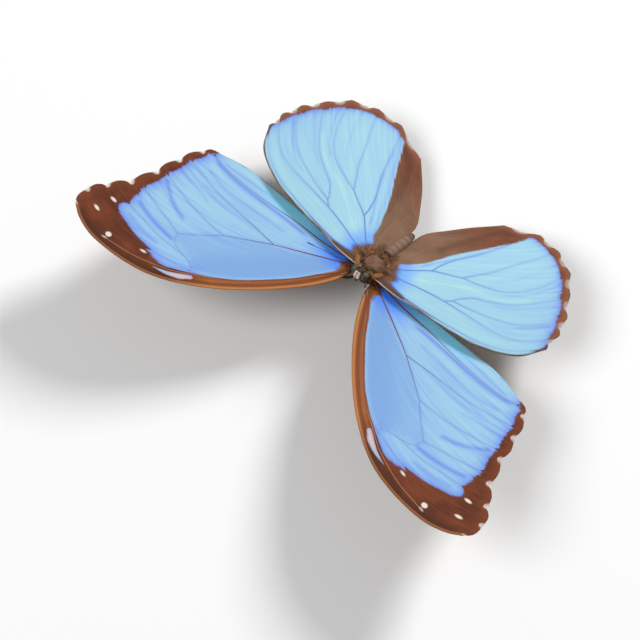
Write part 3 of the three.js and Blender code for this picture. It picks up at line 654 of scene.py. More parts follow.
def forewing_fields(places, _):
    """What the forewing's points carry: markings as distances or strengths."""
    x, y = places.T
    from_body = np.hypot(x, y)
    costa = away_from(places, spline(FOREWING["costa"], 60))
    stem = away_from(places, even_spline(FOREWING_VEINS["cubital"], ROUTE_STEP))
    outer = away_from(places, bulging(FOREWING_BLUE["outer"], FOREWING_BLUE["bulge"]))
    apex = away_from(places, FOREWING_BLUE["apex"])
    # The long cell behind the leading edge is darker, less so towards its end.
    cell_border = np.vstack([spline(FOREWING_VEINS["cubital"], 40), CELL_END, FOREWING_BLUE["band"]])
    cell = smooth(signed_distance(places, cell_border), -0.6, 1.6) * (1 - 0.45 * smooth(costa, 6, 13))
    cell = cell * (1 - 0.5 * smooth(x, 27, 38))
    away, share = route_distance(places, PATCH["route"])
    patch = np.interp(share, np.linspace(0, 1, len(PATCH["half"])), PATCH["half"]) - away
    # Hue runs from violet, 0, to greenish, 1: violet in folds and near the brown, greenish in gleams.
    hue = 0.58 - 0.2 * cell
    hue = hue + 0.18 * streaks(places, FOREWING_GLEAMS) - 0.368 * streaks(places, FOREWING_FOLDS)
    hue = hue - 0.5 * np.exp(-np.minimum(outer, apex) / 1.3) - 0.1 * np.exp(-stem / 1.2)
    hue = hue + 0.12 * smooth(y, -4, 0) * smooth(x, 20, 34)
    # Royal blue at the root, behind the cell and along the inner edge.
    royal = smooth(x + 0.9 * y, 15.5, 3) * smooth(y, -9.5, -4)
    royal = np.maximum(royal, 0.45 * smooth(from_body, 15, 6))
    royal = np.maximum(royal, smooth(y, -5, -3.4) * smooth(x, 22, 8))
    # The strip beside the hindwing's front edge is the wing's own pale blue, painted brighter still as
    # painted light against the shadow that the hindwing casts on it.
    return {
        "blue": wedged(signed_distance(places, forewing_border()), places, FOREWING_VEINS, 1), "hue": hue,
        "royal": royal, "teal": smooth(y, -5, -2.6) * smooth(x, 38, 26) * smooth(x, 7, 14), "cell": cell,
        "root": smooth(np.hypot(x - 2.5, y + 2.5), 5.2, 2.4),
        "warm": smooth(costa, 5, 3.4) * smooth(x, 34, 24), "rim": costa, "spot": white_spots(places),
        "patch": patch, "far": share, "vein": vein_shade(places, FOREWING_VEINS, 0.4),
    }


def hindwing_fields(places, side):
    """What the hindwing's points carry."""
    x, y = places.T
    from_root = np.hypot(x - 3, y - 1)
    outer = away_from(places, bulging(HINDWING_BLUE["outer"], HINDWING_BLUE["bulge"]))
    fold = away_from(places, HINDWING_BLUE["fold"])
    hue = 0.76 + 0.15 * streaks(places, HINDWING_GLEAMS) - 0.336 * streaks(places, HINDWING_FOLDS)
    hue = hue - 0.6 * np.exp(-outer) - 0.3 * np.exp(-fold / 0.8)
    hue = hue - 0.16 * smooth(x, 30, 44) * smooth(y, 4, 20)
    # The blue reaches a little further onto the brown fold on one side than on the other.
    reach = HINDWING_BLUE["fold_reach"][side] * smooth(fold, 4, 1.5) * smooth(y, 5, 11)
    blue = signed_distance(places, hindwing_border()) + reach * smooth(outer, 0.5, 2.5)
    blue = wedged(blue, places, HINDWING_VEINS, 0.5)
    by_rim = smooth(blue, 1, 0) * smooth(from_root, 14, 8) * smooth(y, 2.4, 1)
    return {
        "blue": blue, "hue": hue, "royal": 0.5 * smooth(from_root, 9.5, 4.5) + 0.5 * by_rim,
        # The dark spot at the wing's root is painted shade in the gap where the wing meets the body.
        "root": smooth(from_root, 4.6, 2.2), "joint": 0.9 * smooth(np.hypot(x - 3.85, y + 0.1), 1.1, 0.4),
        "warm": smooth(np.hypot(x, y), 12, 36), "rim": away_from(places, spline(HINDWING["costa"], 60)),
        # The cream share sets how pale the painted highlight along the costa's edge is: pale near the root,
        # brown further out.
        "inner": away_from(places, spline(HINDWING["inner"], 60)), "cream": smooth(x, 17, 9),
        "crease": soft_line(away_from(places, HINDWING_CREASE), 1.3),
        "vein": vein_shade(places, HINDWING_VEINS, 0.4),
    }


def ocellus_field(places, ocelli):
    """Distance from the nearest eye spot's middle, in its radii."""
    reach = [np.hypot(*(places - middle).T) / radius for middle, radius in ocelli]
    return np.minimum(np.min(reach, axis=0), 3)


def wing_unwrap(places, chart):
    """Plan view of a wing's upper side in the lower half of the square."""
    extent = np.vstack([places, chart.plan.reshape(-1, 2)])
    low, high = extent.min(axis=0), extent.max(axis=0)
    return 0.01 + (places - low) / (high - low) * [0.98, 0.47]


WINGS = {
    "forewing": (FOREWING, FOREWING_VEINS, forewing_fields, forewing_border, FOREWING_OCELLI),
    "hindwing": (HINDWING, HINDWING_VEINS, hindwing_fields, hindwing_border, HINDWING_OCELLI),
}


def build_wing(name, suffix, side, looks):
    """Membrane, veins and fringe of one wing."""
    wing, veins, fields, border, ocelli = WINGS[name]
    upper, under, vein_look, fringe_look = looks
    chart = Wing(wing)
    places = chart.plan.reshape(-1, 2)
    carried = fields(places, side)
    carried.update({
        "ray": chart.u.ravel(), "lane": chart.v.ravel(), "ocellus": ocellus_field(places, ocelli),
        "edge": away_from(places, chart.plan[-1]),
        "dip": np.tile(smooth(chart.standing, 0.5, 0.15), len(chart.u)),
    })
    offset = (chart.normal * chart.half[..., None]).reshape(-1, 3)
    middle = chart.middle.reshape(-1, 3)
    at = np.arange(len(places)).reshape(chart.u.shape)
    top = np.stack([at[:-1, :-1], at[:-1, 1:], at[1:, 1:], at[1:, :-1]], axis=-1).reshape(-1, 4)
    rim = np.concatenate([at[0, :-1], at[:-1, -1], at[-1, :0:-1], at[:0:-1, 0]])
    following = np.roll(rim, -1)
    wall = np.stack([rim, rim + len(places), following + len(places), following], axis=-1)
    faces = np.vstack([top, top[:, ::-1] + len(places), wall])[:, ::-1]
    slots = np.concatenate([np.zeros(len(top)), np.ones(len(top)), np.zeros(len(wall))])
    both = {field: np.tile(values, 2) for field, values in carried.items()}
    uv = wing_unwrap(places, chart)
    points = np.vstack([middle + offset, middle - offset])
    piece = new_mesh(f"{name}_{suffix}", points, [faces], both, np.vstack([uv, uv + [0, 0.5]]), slots, side)
    dress(piece, [upper, under], "wing", f"{name}_{suffix}")
    build_veins(name, suffix, side, chart, veins, border(), vein_look)
    build_fringe(name, suffix, side, chart, fringe_look)
    return chart


def build_veins(name, suffix, side, chart, veins, border, look):
    """Veins as flat tubes that stand a little proud of both sides."""
    sides = VEIN["sides"]
    angles = 2 * np.pi * np.arange(sides) / sides
    made, count = [], 0
    for vein, route in veins.items():
        places = even_spline(route, VEIN["spacing"])
        row, column = chart.locate(places)
        middle = chart.sample(chart.middle, row, column)
        normal = unit(chart.sample(chart.normal, row, column))
        across = unit(np.cross(normal, unit(np.gradient(middle, axis=0))))
        from_root = np.hypot(*places.T)
        out = smooth(from_root, 4, 46)
        half_width = VEIN["half_width"] + VEIN["taper"] * smooth(from_root, 46, 20)
        half_width = half_width + ROOT_SWELL[name] * smooth(from_root, 24, 5)
        golden = smooth(from_root, TAN_VEIN["from"], 44) * ((name, vein) == ("forewing", TAN_VEIN["name"]))
        half_width = half_width + TAN_VEIN["extra"] * golden
        half_height = chart.sample(chart.half, row, column) + between(out, *VEIN["proud"])
        half_width[[0, -1]] *= 0.4
        ring = (
            middle[:, None] + across[:, None] * (half_width[:, None] * np.cos(angles))[..., None]
            + normal[:, None] * (half_height[:, None] * np.sin(angles))[..., None]
        )
        at = count + np.arange(len(places) * sides).reshape(-1, sides)
        beside = np.roll(at, -1, axis=1)
        faces = np.stack([at[:-1], beside[:-1], beside[1:], at[1:]], axis=-1).reshape(-1, 4)
        carried = (np.repeat(values, sides) for values in (out, golden, signed_distance(places, border)))
        made.append((ring.reshape(-1, 3), faces[:, ::-1], np.tile(np.sin(angles), len(places)), *carried))
        count += at.size
    points, faces, depth, out, golden, blue = (np.concatenate(column) for column in zip(*made))
    fields = {"out": out, "side": depth, "blue": blue, "tan": golden}
    dress(new_mesh(f"{name}_veins_{suffix}", points, [faces], fields, side=side), [look], "wing")


def build_fringe(name, suffix, side, chart, look):
    """Short scales standing out from the scalloped margin, white in the notches."""
    rng = np.random.default_rng(7)
    margin = chart.middle[-1]
    run = run_along(margin)
    count = int(run[-1] / FRINGE["spacing"])
    stations = (np.arange(count) + rng.uniform(-0.3, 0.3, count) + 0.5) / count * run[-1]
    lines = (margin, np.gradient(margin, axis=0), chart.normal[-1])
    roots, along, normal = (
        np.stack([np.interp(stations, run, axis) for axis in line.T], axis=1) for line in lines
    )
    along, normal = unit(along), unit(normal)
    outward = unit(np.cross(along, normal))
    outward *= np.sign((outward * (roots - chart.middle[-8, len(margin) // 2])).sum(axis=1, keepdims=True))
    lobe = np.interp(stations, run, chart.standing)
    length = between(smooth(lobe, 0.75, 0.2), FRINGE["lobe"], FRINGE["dip"]) * rng.uniform(0.75, 1.1, count)
    lie = outward + along * rng.normal(0, 0.12, count)[:, None]
    lie = unit(lie + normal * rng.normal(0, 0.06, count)[:, None])
    fields = {
        "white": FRINGE["white"][name] * smooth(lobe, 0.62, 0.3) * rng.uniform(0.7, 1, count),
        "tone": rng.uniform(0, 1, count),
    }
    sunk = FRINGE["sunk"]
    build_coat(f"{name}_fringe_{suffix}", look, "wing", roots - lie * sunk, normal, lie, length + sunk,
               FRINGE["width"], 0, fields, wing_unwrap(roots[:, :2], chart), side)


# ---------------------------------------------------------------- materials


def colour(screen):
    """Linear colour from red, green and blue as 8-bit screen values."""
    screen = np.array(screen) / 255
    linear = np.where(screen <= 0.04045, screen / 12.92, ((screen + 0.055) / 1.055) ** 2.4)
    return (*linear.tolist(), 1.0)


class Value:
    """A number or a colour that a material works out at each place."""

    def __init__(self, look, socket):
        self.look, self.socket = look, socket

    def math(self, operation, other=0.0):
        return self.look.node("ShaderNodeMath", {0: self, 1: other}, operation=operation)

    def __add__(self, other):
        return self.math("ADD", other)

    def __sub__(self, other):
        return self.math("SUBTRACT", other)

    def __mul__(self, other):
        return self.math("MULTIPLY", other)

    def step(self, low, high):
        """0 at low, 1 at high, and a smooth step between."""
        inputs = {"Value": self, "From Min": low, "From Max": high}
        return self.look.node("ShaderNodeMapRange", inputs, interpolation_type="SMOOTHSTEP")

    def band(self, middle, half_width):
        """1 where the value is at the middle of a band, 0 outside it."""
        return (self - middle).math("ABSOLUTE").step(half_width, 0.4 * half_width)


class Look:
    """A material whose colour is mixed from the numbers that the points carry."""

    def __init__(self, name, roughness, specular):
        self.material = bpy.data.materials.new(name)
        self.material.use_nodes = True
        self.tree = self.material.node_tree
        self.surface = self.tree.nodes["Principled BSDF"]
        self.surface.inputs["Roughness"].default_value = roughness
        self.surface.inputs["Specular IOR Level"].default_value = specular

    def node(self, kind, inputs, output=0, **settings):
        made = self.tree.nodes.new(kind)
        for setting, value in settings.items():
            setattr(made, setting, value)
        for socket, value in inputs.items():
            if isinstance(value, Value):
                self.tree.links.new(value.socket, made.inputs[socket])
            else:
                made.inputs[socket].default_value = value
        return Value(self, made.outputs[output])

    def __getitem__(self, field):
        return self.node("ShaderNodeAttribute", {}, "Fac", attribute_name=field)

    def mix(self, share, low, high):
        """Mix of two colours, each a value or red, green and blue."""
        low, high = (shade if isinstance(shade, Value) else colour(shade) for shade in (low, high))
        return self.node("ShaderNodeMix", {0: share, 6: low, 7: high}, 2, data_type="RGBA")

    def over(self, shade, *layers):
        """A colour with others laid over it, each by its share."""
        for share, laid in layers:
            shade = self.mix(share, shade, laid)
        return shade

    def ramp(self, value, *shades, at=(0, 0.5, 1)):
        """Colours at places along a value."""
        made = self.tree.nodes.new("ShaderNodeValToRGB")
        while len(made.color_ramp.elements) < len(shades):
            made.color_ramp.elements.new(0.5)
        for element, place, shade in zip(made.color_ramp.elements, at, shades):
            element.position = place
            element.color = colour(shade)
        self.tree.links.new(value.socket, made.inputs["Fac"])
        return Value(self, made.outputs["Color"])

    def noise(self, scale, detail=2.0):
        """Noise of about 0.5 by place in the object, with a scale in features per millimetre."""
        inputs = {"Vector": self.node("ShaderNodeTexCoord", {}, "Object"), "Scale": scale / METRES}
        return self.node("ShaderNodeTexNoise", {**inputs, "Detail": detail}, "Fac")

    def rays(self, along, across):
        """Noise drawn out along a wing's rays."""
        place = self.node("ShaderNodeCombineXYZ", {0: self["ray"] * along, 1: self["lane"] * across})
        return self.node("ShaderNodeTexNoise", {"Vector": place, "Scale": 1.0, "Detail": 2.0}, "Fac")

    def mottle(self, along, across, strength):
        return (self.rays(along, across) - 0.5) * strength

    def finish(self, shade, relief=None, depth=0):
        """The material with its colour, and relief whose depth is in millimetres."""
        self.tree.links.new(shade.socket, self.surface.inputs["Base Color"])
        if relief is not None:
            inputs = {"Height": relief, "Distance": depth * METRES, "Strength": 1.0}
            normal = self.node("ShaderNodeBump", inputs)
            self.tree.links.new(normal.socket, self.surface.inputs["Normal"])
        return self.material


def wing_blue(look):
    """Blue of a wing: violet to greenish by hue, royal blue near the root."""
    streakiness = (look["cell"] * -0.6 + 1.0) * 0.16
    hue = look["hue"] + look.mottle(2.2, 44, streakiness * 3.5) + look.mottle(7, 150, streakiness)
    hue = hue + look.mottle(40, 420, streakiness * 0.5)
    shades = ((104, 128, 218), (126, 162, 222), (149, 191, 222), (158, 203, 220), (172, 216, 216))
    return look.over(
        look.ramp(hue, *shades, at=(0, 0.3, 0.58, 0.8, 1)),
        (look["cell"] * 0.6, (116, 157, 208)),
        # Partly painted light: the strip is brighter than its own blue to make up for the hindwing's shadow.
        (look["teal"] * 0.95, (132, 220, 255)),
        (look["royal"] * 0.9, (16, 116, 250)),
        (look["vein"] * 0.3, (112, 140, 210)),
    )


def blue_on(look, brown, raggedness):
    """The blue field on the brown, with a border broken up by the rows of scales."""
    share = (look["blue"] + look.mottle(9, 190, raggedness)).step(-0.22, 0.28)
    return look.mix(share, brown, wing_blue(look))


def finish_wing(look, shade, notch_white=0):
    """A wing with fine ribs, and white scales at the very edge, in the notches between its lobes."""
    if notch_white:
        notches = look["edge"].step(0.5, 0.2) * look["dip"]
        shade = look.mix(notches * notch_white, shade, (216, 202, 194))
    return look.finish(shade, look.rays(60, 500), 0.02)


def upper_forewing():
    look = Look("forewing_upper", 0.6, 0.06)
    rim, warm, patch = look["rim"], look["warm"], look["patch"]
    mottle = look.mottle(12, 120, 0.9)
    stripes = (rim * 3.6 + mottle * 2.0).math("SINE")
    brown = look.over(
        look.ramp(mottle + 0.45, (76, 42, 30), (95, 50, 36), (124, 68, 43)),
        (look.noise(0.16, 3.0).step(0.42, 0.66) * 0.45, (132, 70, 40)),
        (rim.step(3.4, 1.0) * 0.7, (68, 42, 30)),
        (look["edge"].step(2.6, 0.2) * 0.6, (122, 66, 42)),
        (warm, look.ramp(mottle * 0.5 + 0.5 + stripes * 0.3, (112, 62, 36), (138, 80, 46), (172, 106, 64))),
        (rim.step(0.75, 0.4) * 0.75, look.mix(warm, (156, 100, 62), (190, 126, 76))),
    )
    lilac = look.over(
        look.mix(patch.step(0.35, 0.75), (176, 166, 188), (204, 186, 180)),
        (look["far"].step(0.45, 0.7), (160, 178, 206)),
    )
    shade = look.over(
        blue_on(look, brown, 1.5),
        ((patch + look.mottle(30, 300, 0.5)).step(-0.05, 0.3), lilac),
        (look["spot"].step(-0.12, 0.22), (226, 212, 200)),
        (look["root"] * 0.95, (58, 30, 14)),
    )
    return finish_wing(look, shade, 0.85)


def upper_hindwing():
    look = Look("hindwing_upper", 0.6, 0.06)
    rim, warm = look["rim"], look["warm"]
    mottle = look.mottle(14, 90, 0.8) + 0.5
    # Lighter and darker patches by noise: partly the fold's own mottled tone, partly painted light and shade
    # of its crumpled scales.
    crumple_tone_and_shade = look.noise(0.2, 3.0).step(0.36, 0.66)
    red = look.ramp(mottle, (92, 54, 40), (112, 68, 50), (134, 84, 58))
    # Painted highlight along the very edge of the costa.
    line = look.mix(look["cream"], (128, 96, 78), (206, 192, 172))
    brown = look.over(
        look.ramp(mottle, (102, 75, 60), (124, 95, 77), (146, 114, 92)),
        (crumple_tone_and_shade * 0.5, (146, 112, 88)),
        (warm, look.mix(crumple_tone_and_shade * 0.4, red, (136, 82, 54))),
        # Painted shade along the crease.
        (look["crease"] * 0.45, (84, 54, 42)),
        (look["edge"].step(2.0, 0.3) * warm * 0.75, (142, 90, 68)),
        (look["inner"].step(0.9, 0.2) * 0.45, (138, 102, 76)),
        # A brown band along the costa, with the painted highlight at its very edge.
        (rim.step(2.2, 1.2), look.mix(rim.step(0.16, 0.06), (92, 68, 56), line)),
    )
    shade = look.over(
        blue_on(look, brown, 1.1),
        (look["root"] * 0.85, (86, 58, 42)),
        # Painted shade in the gap where the wing meets the body.
        (look["joint"], (34, 26, 24)),
    )
    return finish_wing(look, shade, 0.4)


def under_wing(name):
    """Brown underside with eye spots and lines that follow the margin."""
    look = Look(name, 0.62, 0.2)
    mottle = look.mottle(16, 110, 0.9)
    edge = look["edge"] + mottle * 0.5
    ring = look["ocellus"] + mottle * 0.06
    shade = look.over(
        look.ramp(mottle + 0.5, (82, 60, 46), (112, 84, 62), (140, 110, 82)),
        (edge.band(1.0, 0.22).math("MAXIMUM", edge.band(2.3, 0.18)) * 0.7, (206, 186, 150)),
        (edge.band(3.3, 0.4) * 0.7, (156, 78, 48)),
        (ring.step(1.18, 1.08), (196, 178, 140)),
        (ring.step(1.08, 1.0), (66, 44, 34)),
        (ring.step(0.96, 0.88), (206, 160, 74)),
        (ring.step(0.7, 0.62), (30, 24, 24)),
        (ring.step(0.26, 0.18), (224, 222, 214)),
        (look["vein"] * 0.5, (70, 50, 38)),
    )
    return finish_wing(look, shade)


def vein_look(name, on_blue, on_brown):
    """Veins take on the colour of the field that they cross, each paler towards the margin."""
    look = Look(name, 0.5, 0.3)
    blue = look.ramp(look["out"], *on_blue, at=(0, 0.35, 0.7, 1))
    brown = look.mix(look["tan"], look.mix(look["out"], *on_brown), (190, 126, 76))
    top = look.mix(look["blue"].step(-0.4, 0.9), brown, blue)
    return look.finish(look.mix(look["side"].step(0.1, -0.1), top, (96, 70, 50)))


def fringe_look():
    look = Look("fringe", 0.7, 0.2)
    brown = look.mix(look["tone"], (96, 60, 46), (140, 94, 74))
    return look.finish(look.mix(look["white"], brown, (228, 218, 208)))


def coat_look():
    """Hair and scales of the body: brown, tending to orange, dark, grey or white as the points say."""
    look = Look("body_coat", 0.72, 0.2)
    tone = look["tone"]
    shade = look.over(
        look.mix(tone * 0.6 + look.noise(3.0) * 0.4, (84, 59, 43), (128, 96, 75)),
        (look["orange"], (194, 122, 60)),
        (look["grey"], look.mix(tone, (122, 97, 85), (162, 133, 119))),
        (look["dark"], (44, 30, 22)),
        (look["white"], (240, 226, 216)),
        (look["tip"] * 0.34, (186, 146, 106)),
    )
    return look.finish(shade, look.noise(14.0), 0.03)


def shell_look():
    look = Look("shell", 0.4, 0.4)
    grain = look.noise(6.0, 3.0)
    return look.finish(look.mix(grain.step(0.3, 0.7), (48, 36, 28), (78, 58, 44)), grain, 0.03)


def antenna_look():
    look = Look("antenna", 0.45, 0.35)
    ringed = look.mix(look["ring"].step(0.2, 0.02), (36, 36, 40), (84, 86, 96))
    return look.finish(look.mix(look["club"].step(0.1, 0.5), ringed, (50, 42, 40)))


def eye_look():
    """Compound eye: fine facets and a few dim blotches."""
    look = Look("eye", 0.5, 0.2)
    look.surface.inputs["Coat Weight"].default_value = 0.05
    place = look.node("ShaderNodeTexCoord", {}, "Object")
    cells = look.node("ShaderNodeTexVoronoi", {"Vector": place, "Scale": 9.0 / METRES}, "Distance")
    blotches = look.noise(0.9).step(0.42, 0.62)
    return look.finish(look.mix(blotches, (64, 64, 53), (92, 89, 74)), cells * -1.0, 0.02)


def floor_look():
    look = Look("floor", 0.85, 0.1)
    look.surface.inputs["Base Color"].default_value = (0.92, 0.92, 0.92, 1.0)
    return look.material


# ---------------------------------------------------------------- forms of the body


def capped(rings, first, last):
    """Closed form of rings and two end points: points, quads and triangles."""
    sides = rings.shape[1]
    points = np.vstack([rings.reshape(-1, 3), [first], [last]])
    at = np.arange(len(points) - 2).reshape(-1, sides)
    beside = np.roll(at, -1, axis=1)
    quads = np.stack([at[:-1], at[1:], beside[1:], beside[:-1]], axis=-1).reshape(-1, 4)
    top, bottom = np.full((2, sides), [[len(points) - 2], [len(points) - 1]])
    caps = [np.stack([top, at[0], beside[0]], axis=-1), np.stack([bottom, beside[-1], at[-1]], axis=-1)]
    return points, quads, np.vstack(caps)


def ball(centre, radii, pitch=0, bands=18, turns=26):
    """Closed ellipsoid, its front raised by the pitch."""
    polar = np.linspace(0, np.pi, bands + 1)[1:-1, None]
    around = 2 * np.pi * np.arange(turns) / turns
    level = np.cos(polar) * np.ones(turns)
    rings = np.stack([np.sin(polar) * np.cos(around), np.sin(polar) * np.sin(around), level], axis=-1)
    points, quads, triangles = capped(rings, (0, 0, 1), (0, 0, -1))
    x, y, z = (points * radii).T
    turn = math.radians(pitch)
    points = np.stack([x, y * math.cos(turn) - z * math.sin(turn), y * math.sin(turn) + z * math.cos(turn)])
    return points.T + centre, quads, triangles


def tube(centres, across_radii, up_radii=None, sides=12, sole=None, across=None, phase=0.5):
    """Closed tube of rings about a line of centres, in its own or in a given direction across."""
    up_radii = across_radii if up_radii is None else up_radii
    along = unit(np.gradient(centres, axis=0))
    guide = [0, 1, 0] if (np.abs(along[:, 2]) > 0.93).any() else [0, 0, 1]
    across = unit(np.cross(along, guide)) if across is None else np.tile(across, (len(centres), 1))
    upward = np.cross(across, along)
    angles = 2 * np.pi * (np.arange(sides) + phase) / sides
    a = np.broadcast_to(across_radii, len(centres))[:, None, None] * np.cos(angles)[:, None]
    b = np.broadcast_to(up_radii, len(centres))[:, None, None] * np.sin(angles)[:, None]
    rings = centres[:, None] + across[:, None] * a + upward[:, None] * b
    points, quads, caps = capped(rings, centres[0], centres[-1])
    if sole is not None:
        points[:, 2] = np.maximum(points[:, 2], sole)
    return points, quads, caps


def drop_form(spec, side):
    """Smooth drop along a line of points, thick in its middle."""
    share = np.linspace(0, 1, spec["steps"])
    radius = spec["radius"] * between(np.sqrt(np.maximum(0, 1 - (2 * share - 1) ** 2)), spec["blunt"], 1)
    radius[[0, -1]] *= 0.5
    return tube(spline(mirror(spec["line"], side), share), spec["flat"] * radius, radius, spec["sides"])


def joined(forms):
    """Several forms as one list of points and of faces."""
    points, quads, triangles = zip(*forms)
    starts = np.cumsum([0] + [len(group) for group in points])
    quads, triangles = (
        np.vstack([faces + start for faces, start in zip(groups, starts)]) for groups in (quads, triangles)
    )
    return np.vstack(points), quads, triangles


def thorax_form():
    """Blunt barrel, pitched forward and down."""
    pitch = math.radians(BODY_PITCH)
    axis = np.array([0, math.cos(pitch), -math.sin(pitch)])
    share = 0.5 - 0.495 * np.cos(np.pi * np.arange(19) / 18)
    centres = np.array(THORAX["centre"]) + axis * ((2 * share - 1) * THORAX["half_length"])[:, None]
    hump = np.sqrt(np.maximum(0, 1 - np.abs(2 * share - 1) ** 2.4))
    return tube(centres, THORAX["half_width"] * hump, THORAX["half_height"] * hump, 28)


def abdomen_ring(share):
    """Place within its ring, 0 to 1, of a share of the abdomen's length."""
    return (share * ABDOMEN["rings"] + ABDOMEN["ring_start"]) % 1


def abdomen_form():
    """Abdomen of overlapping rings, each a little wider at its hind edge."""
    share = np.linspace(0, 1, 91)
    swell = between(np.sin(np.minimum(1, share / 0.4) * np.pi / 2), ABDOMEN["waist"], 1)
    taper = between(np.clip((share - 0.5) / 0.5, 0, 1) ** 1.9, 1, ABDOMEN["tip"])
    within = abdomen_ring(share)
    step = ABDOMEN["step"] * (within**1.5 - smooth(within, 0.9, 1)) - ABDOMEN["sunk"]
    radii = [(ABDOMEN[half] + step) * swell * taper for half in ("half_width", "half_height")]
    return tube(spline(ABDOMEN["axis"], share), *radii, 32)


def skin_form():
    """One closed surface round the forms of the body, with rounded joins: points and quads."""
    forms = [
        ball(mirror(centre, side), radii, pitch)
        for centre, radii, pitch in SKIN_BALLS for side in ((1, -1) if centre[0] else (1,))
    ]
    points, quads, triangles = joined([*forms, thorax_form(), abdomen_form()])
    mesh = bpy.data.meshes.new("weld")
    mesh.from_pydata(points.tolist(), [], quads.tolist() + triangles.tolist())
    holder = bpy.data.objects.new("weld", mesh)
    bpy.context.scene.collection.objects.link(holder)
    remesh = holder.modifiers.new("remesh", "REMESH")
    remesh.mode = "VOXEL"
    remesh.voxel_size = SKIN_VOXEL
    relax = holder.modifiers.new("smooth", "SMOOTH")
    relax.factor = 0.5
    relax.iterations = SKIN_SMOOTHING
    made = holder.evaluated_get(bpy.context.evaluated_depsgraph_get()).to_mesh()
    places = np.zeros(3 * len(made.vertices))
    made.vertices.foreach_get("co", places)
    corners = np.zeros(len(made.loops), np.int32)
    made.loops.foreach_get("vertex_index", corners)
    holder.to_mesh_clear()
    bpy.data.objects.remove(holder)
    bpy.data.meshes.remove(mesh)
    return places.reshape(-1, 3), corners.reshape(-1, 4)


def face_vectors(points, quads):
    """Vectors square to the faces, twice as long as the faces' areas."""
    return np.cross(points[quads[:, 2]] - points[quads[:, 0]], points[quads[:, 3]] - points[quads[:, 1]])


def vertex_normals(points, quads):
    normals = np.zeros_like(points)
    for corner in quads.T:
        np.add.at(normals, corner, face_vectors(points, quads))
    return unit(normals)


# ---------------------------------------------------------------- coat of the body


def body_unwrap(places):
    """Turn about the body's axis, and place along it, of points on the body."""
    level = np.interp(places[:, 1], *np.array(BODY_AXIS).T)
    turn = np.arctan2(places[:, 0], places[:, 2] - level)
    back = (places[:, 1] - BODY_FRONT) / BODY_LENGTH
    return np.stack([0.5 + 0.98 * turn / (2 * np.pi), 0.01 + 0.98 * back], axis=1)


def eye_gap(places):
    """Distance of places to the middle of the nearer eye."""
    gaps = [np.linalg.norm(places - mirror(EYE["centre"], side), axis=1) for side in (1, -1)]
    return np.min(gaps, axis=0)


def body_zones(places, normals):
    """How much of each region of the body a place belongs to.

    The head lies before the neck, the abdomen behind the waist, the shield is an oval on the back and the
    collar lies before it.
    """
    x, y, z = places.T
    pitch = math.radians(BODY_PITCH)
    dorsal = normals @ [0, math.sin(pitch), math.cos(pitch)]
    head = smooth(y, -3.6, -4.1) * smooth(z, 5.4, 6.2)
    abdomen = smooth(y, 3.4, 4.4)
    shield = smooth(1 - np.hypot(x / 3, (y + 0.05) / 2.3), -0.06, 0.12) * smooth(dorsal, 0.3, 0.6)
    shield = shield * smooth(z, 3.2, 4) * (1 - head)
    shield_tail = smooth(1 - np.hypot(x / 1.2, (y - 3.2) / 0.8), 0, 0.3) * smooth(dorsal, 0.2, 0.6)
    shield = np.maximum(shield, 0.6 * shield_tail)
    _, share = route_distance(places[:, 1:], spline(ABDOMEN["axis"], 60)[:, 1:])
    thorax = (1 - head) * (1 - abdomen)
    return {
        "dorsal": dorsal, "head": head, "abdomen": abdomen, "shield": shield, "thorax": thorax,
        "hairy": thorax * (1 - shield), "collar": smooth(y, -1.8, -2.8) * (1 - head),
        "ring": abdomen_ring(share), "side": smooth(np.abs(x), 1.8, 2.8) * thorax,
    }


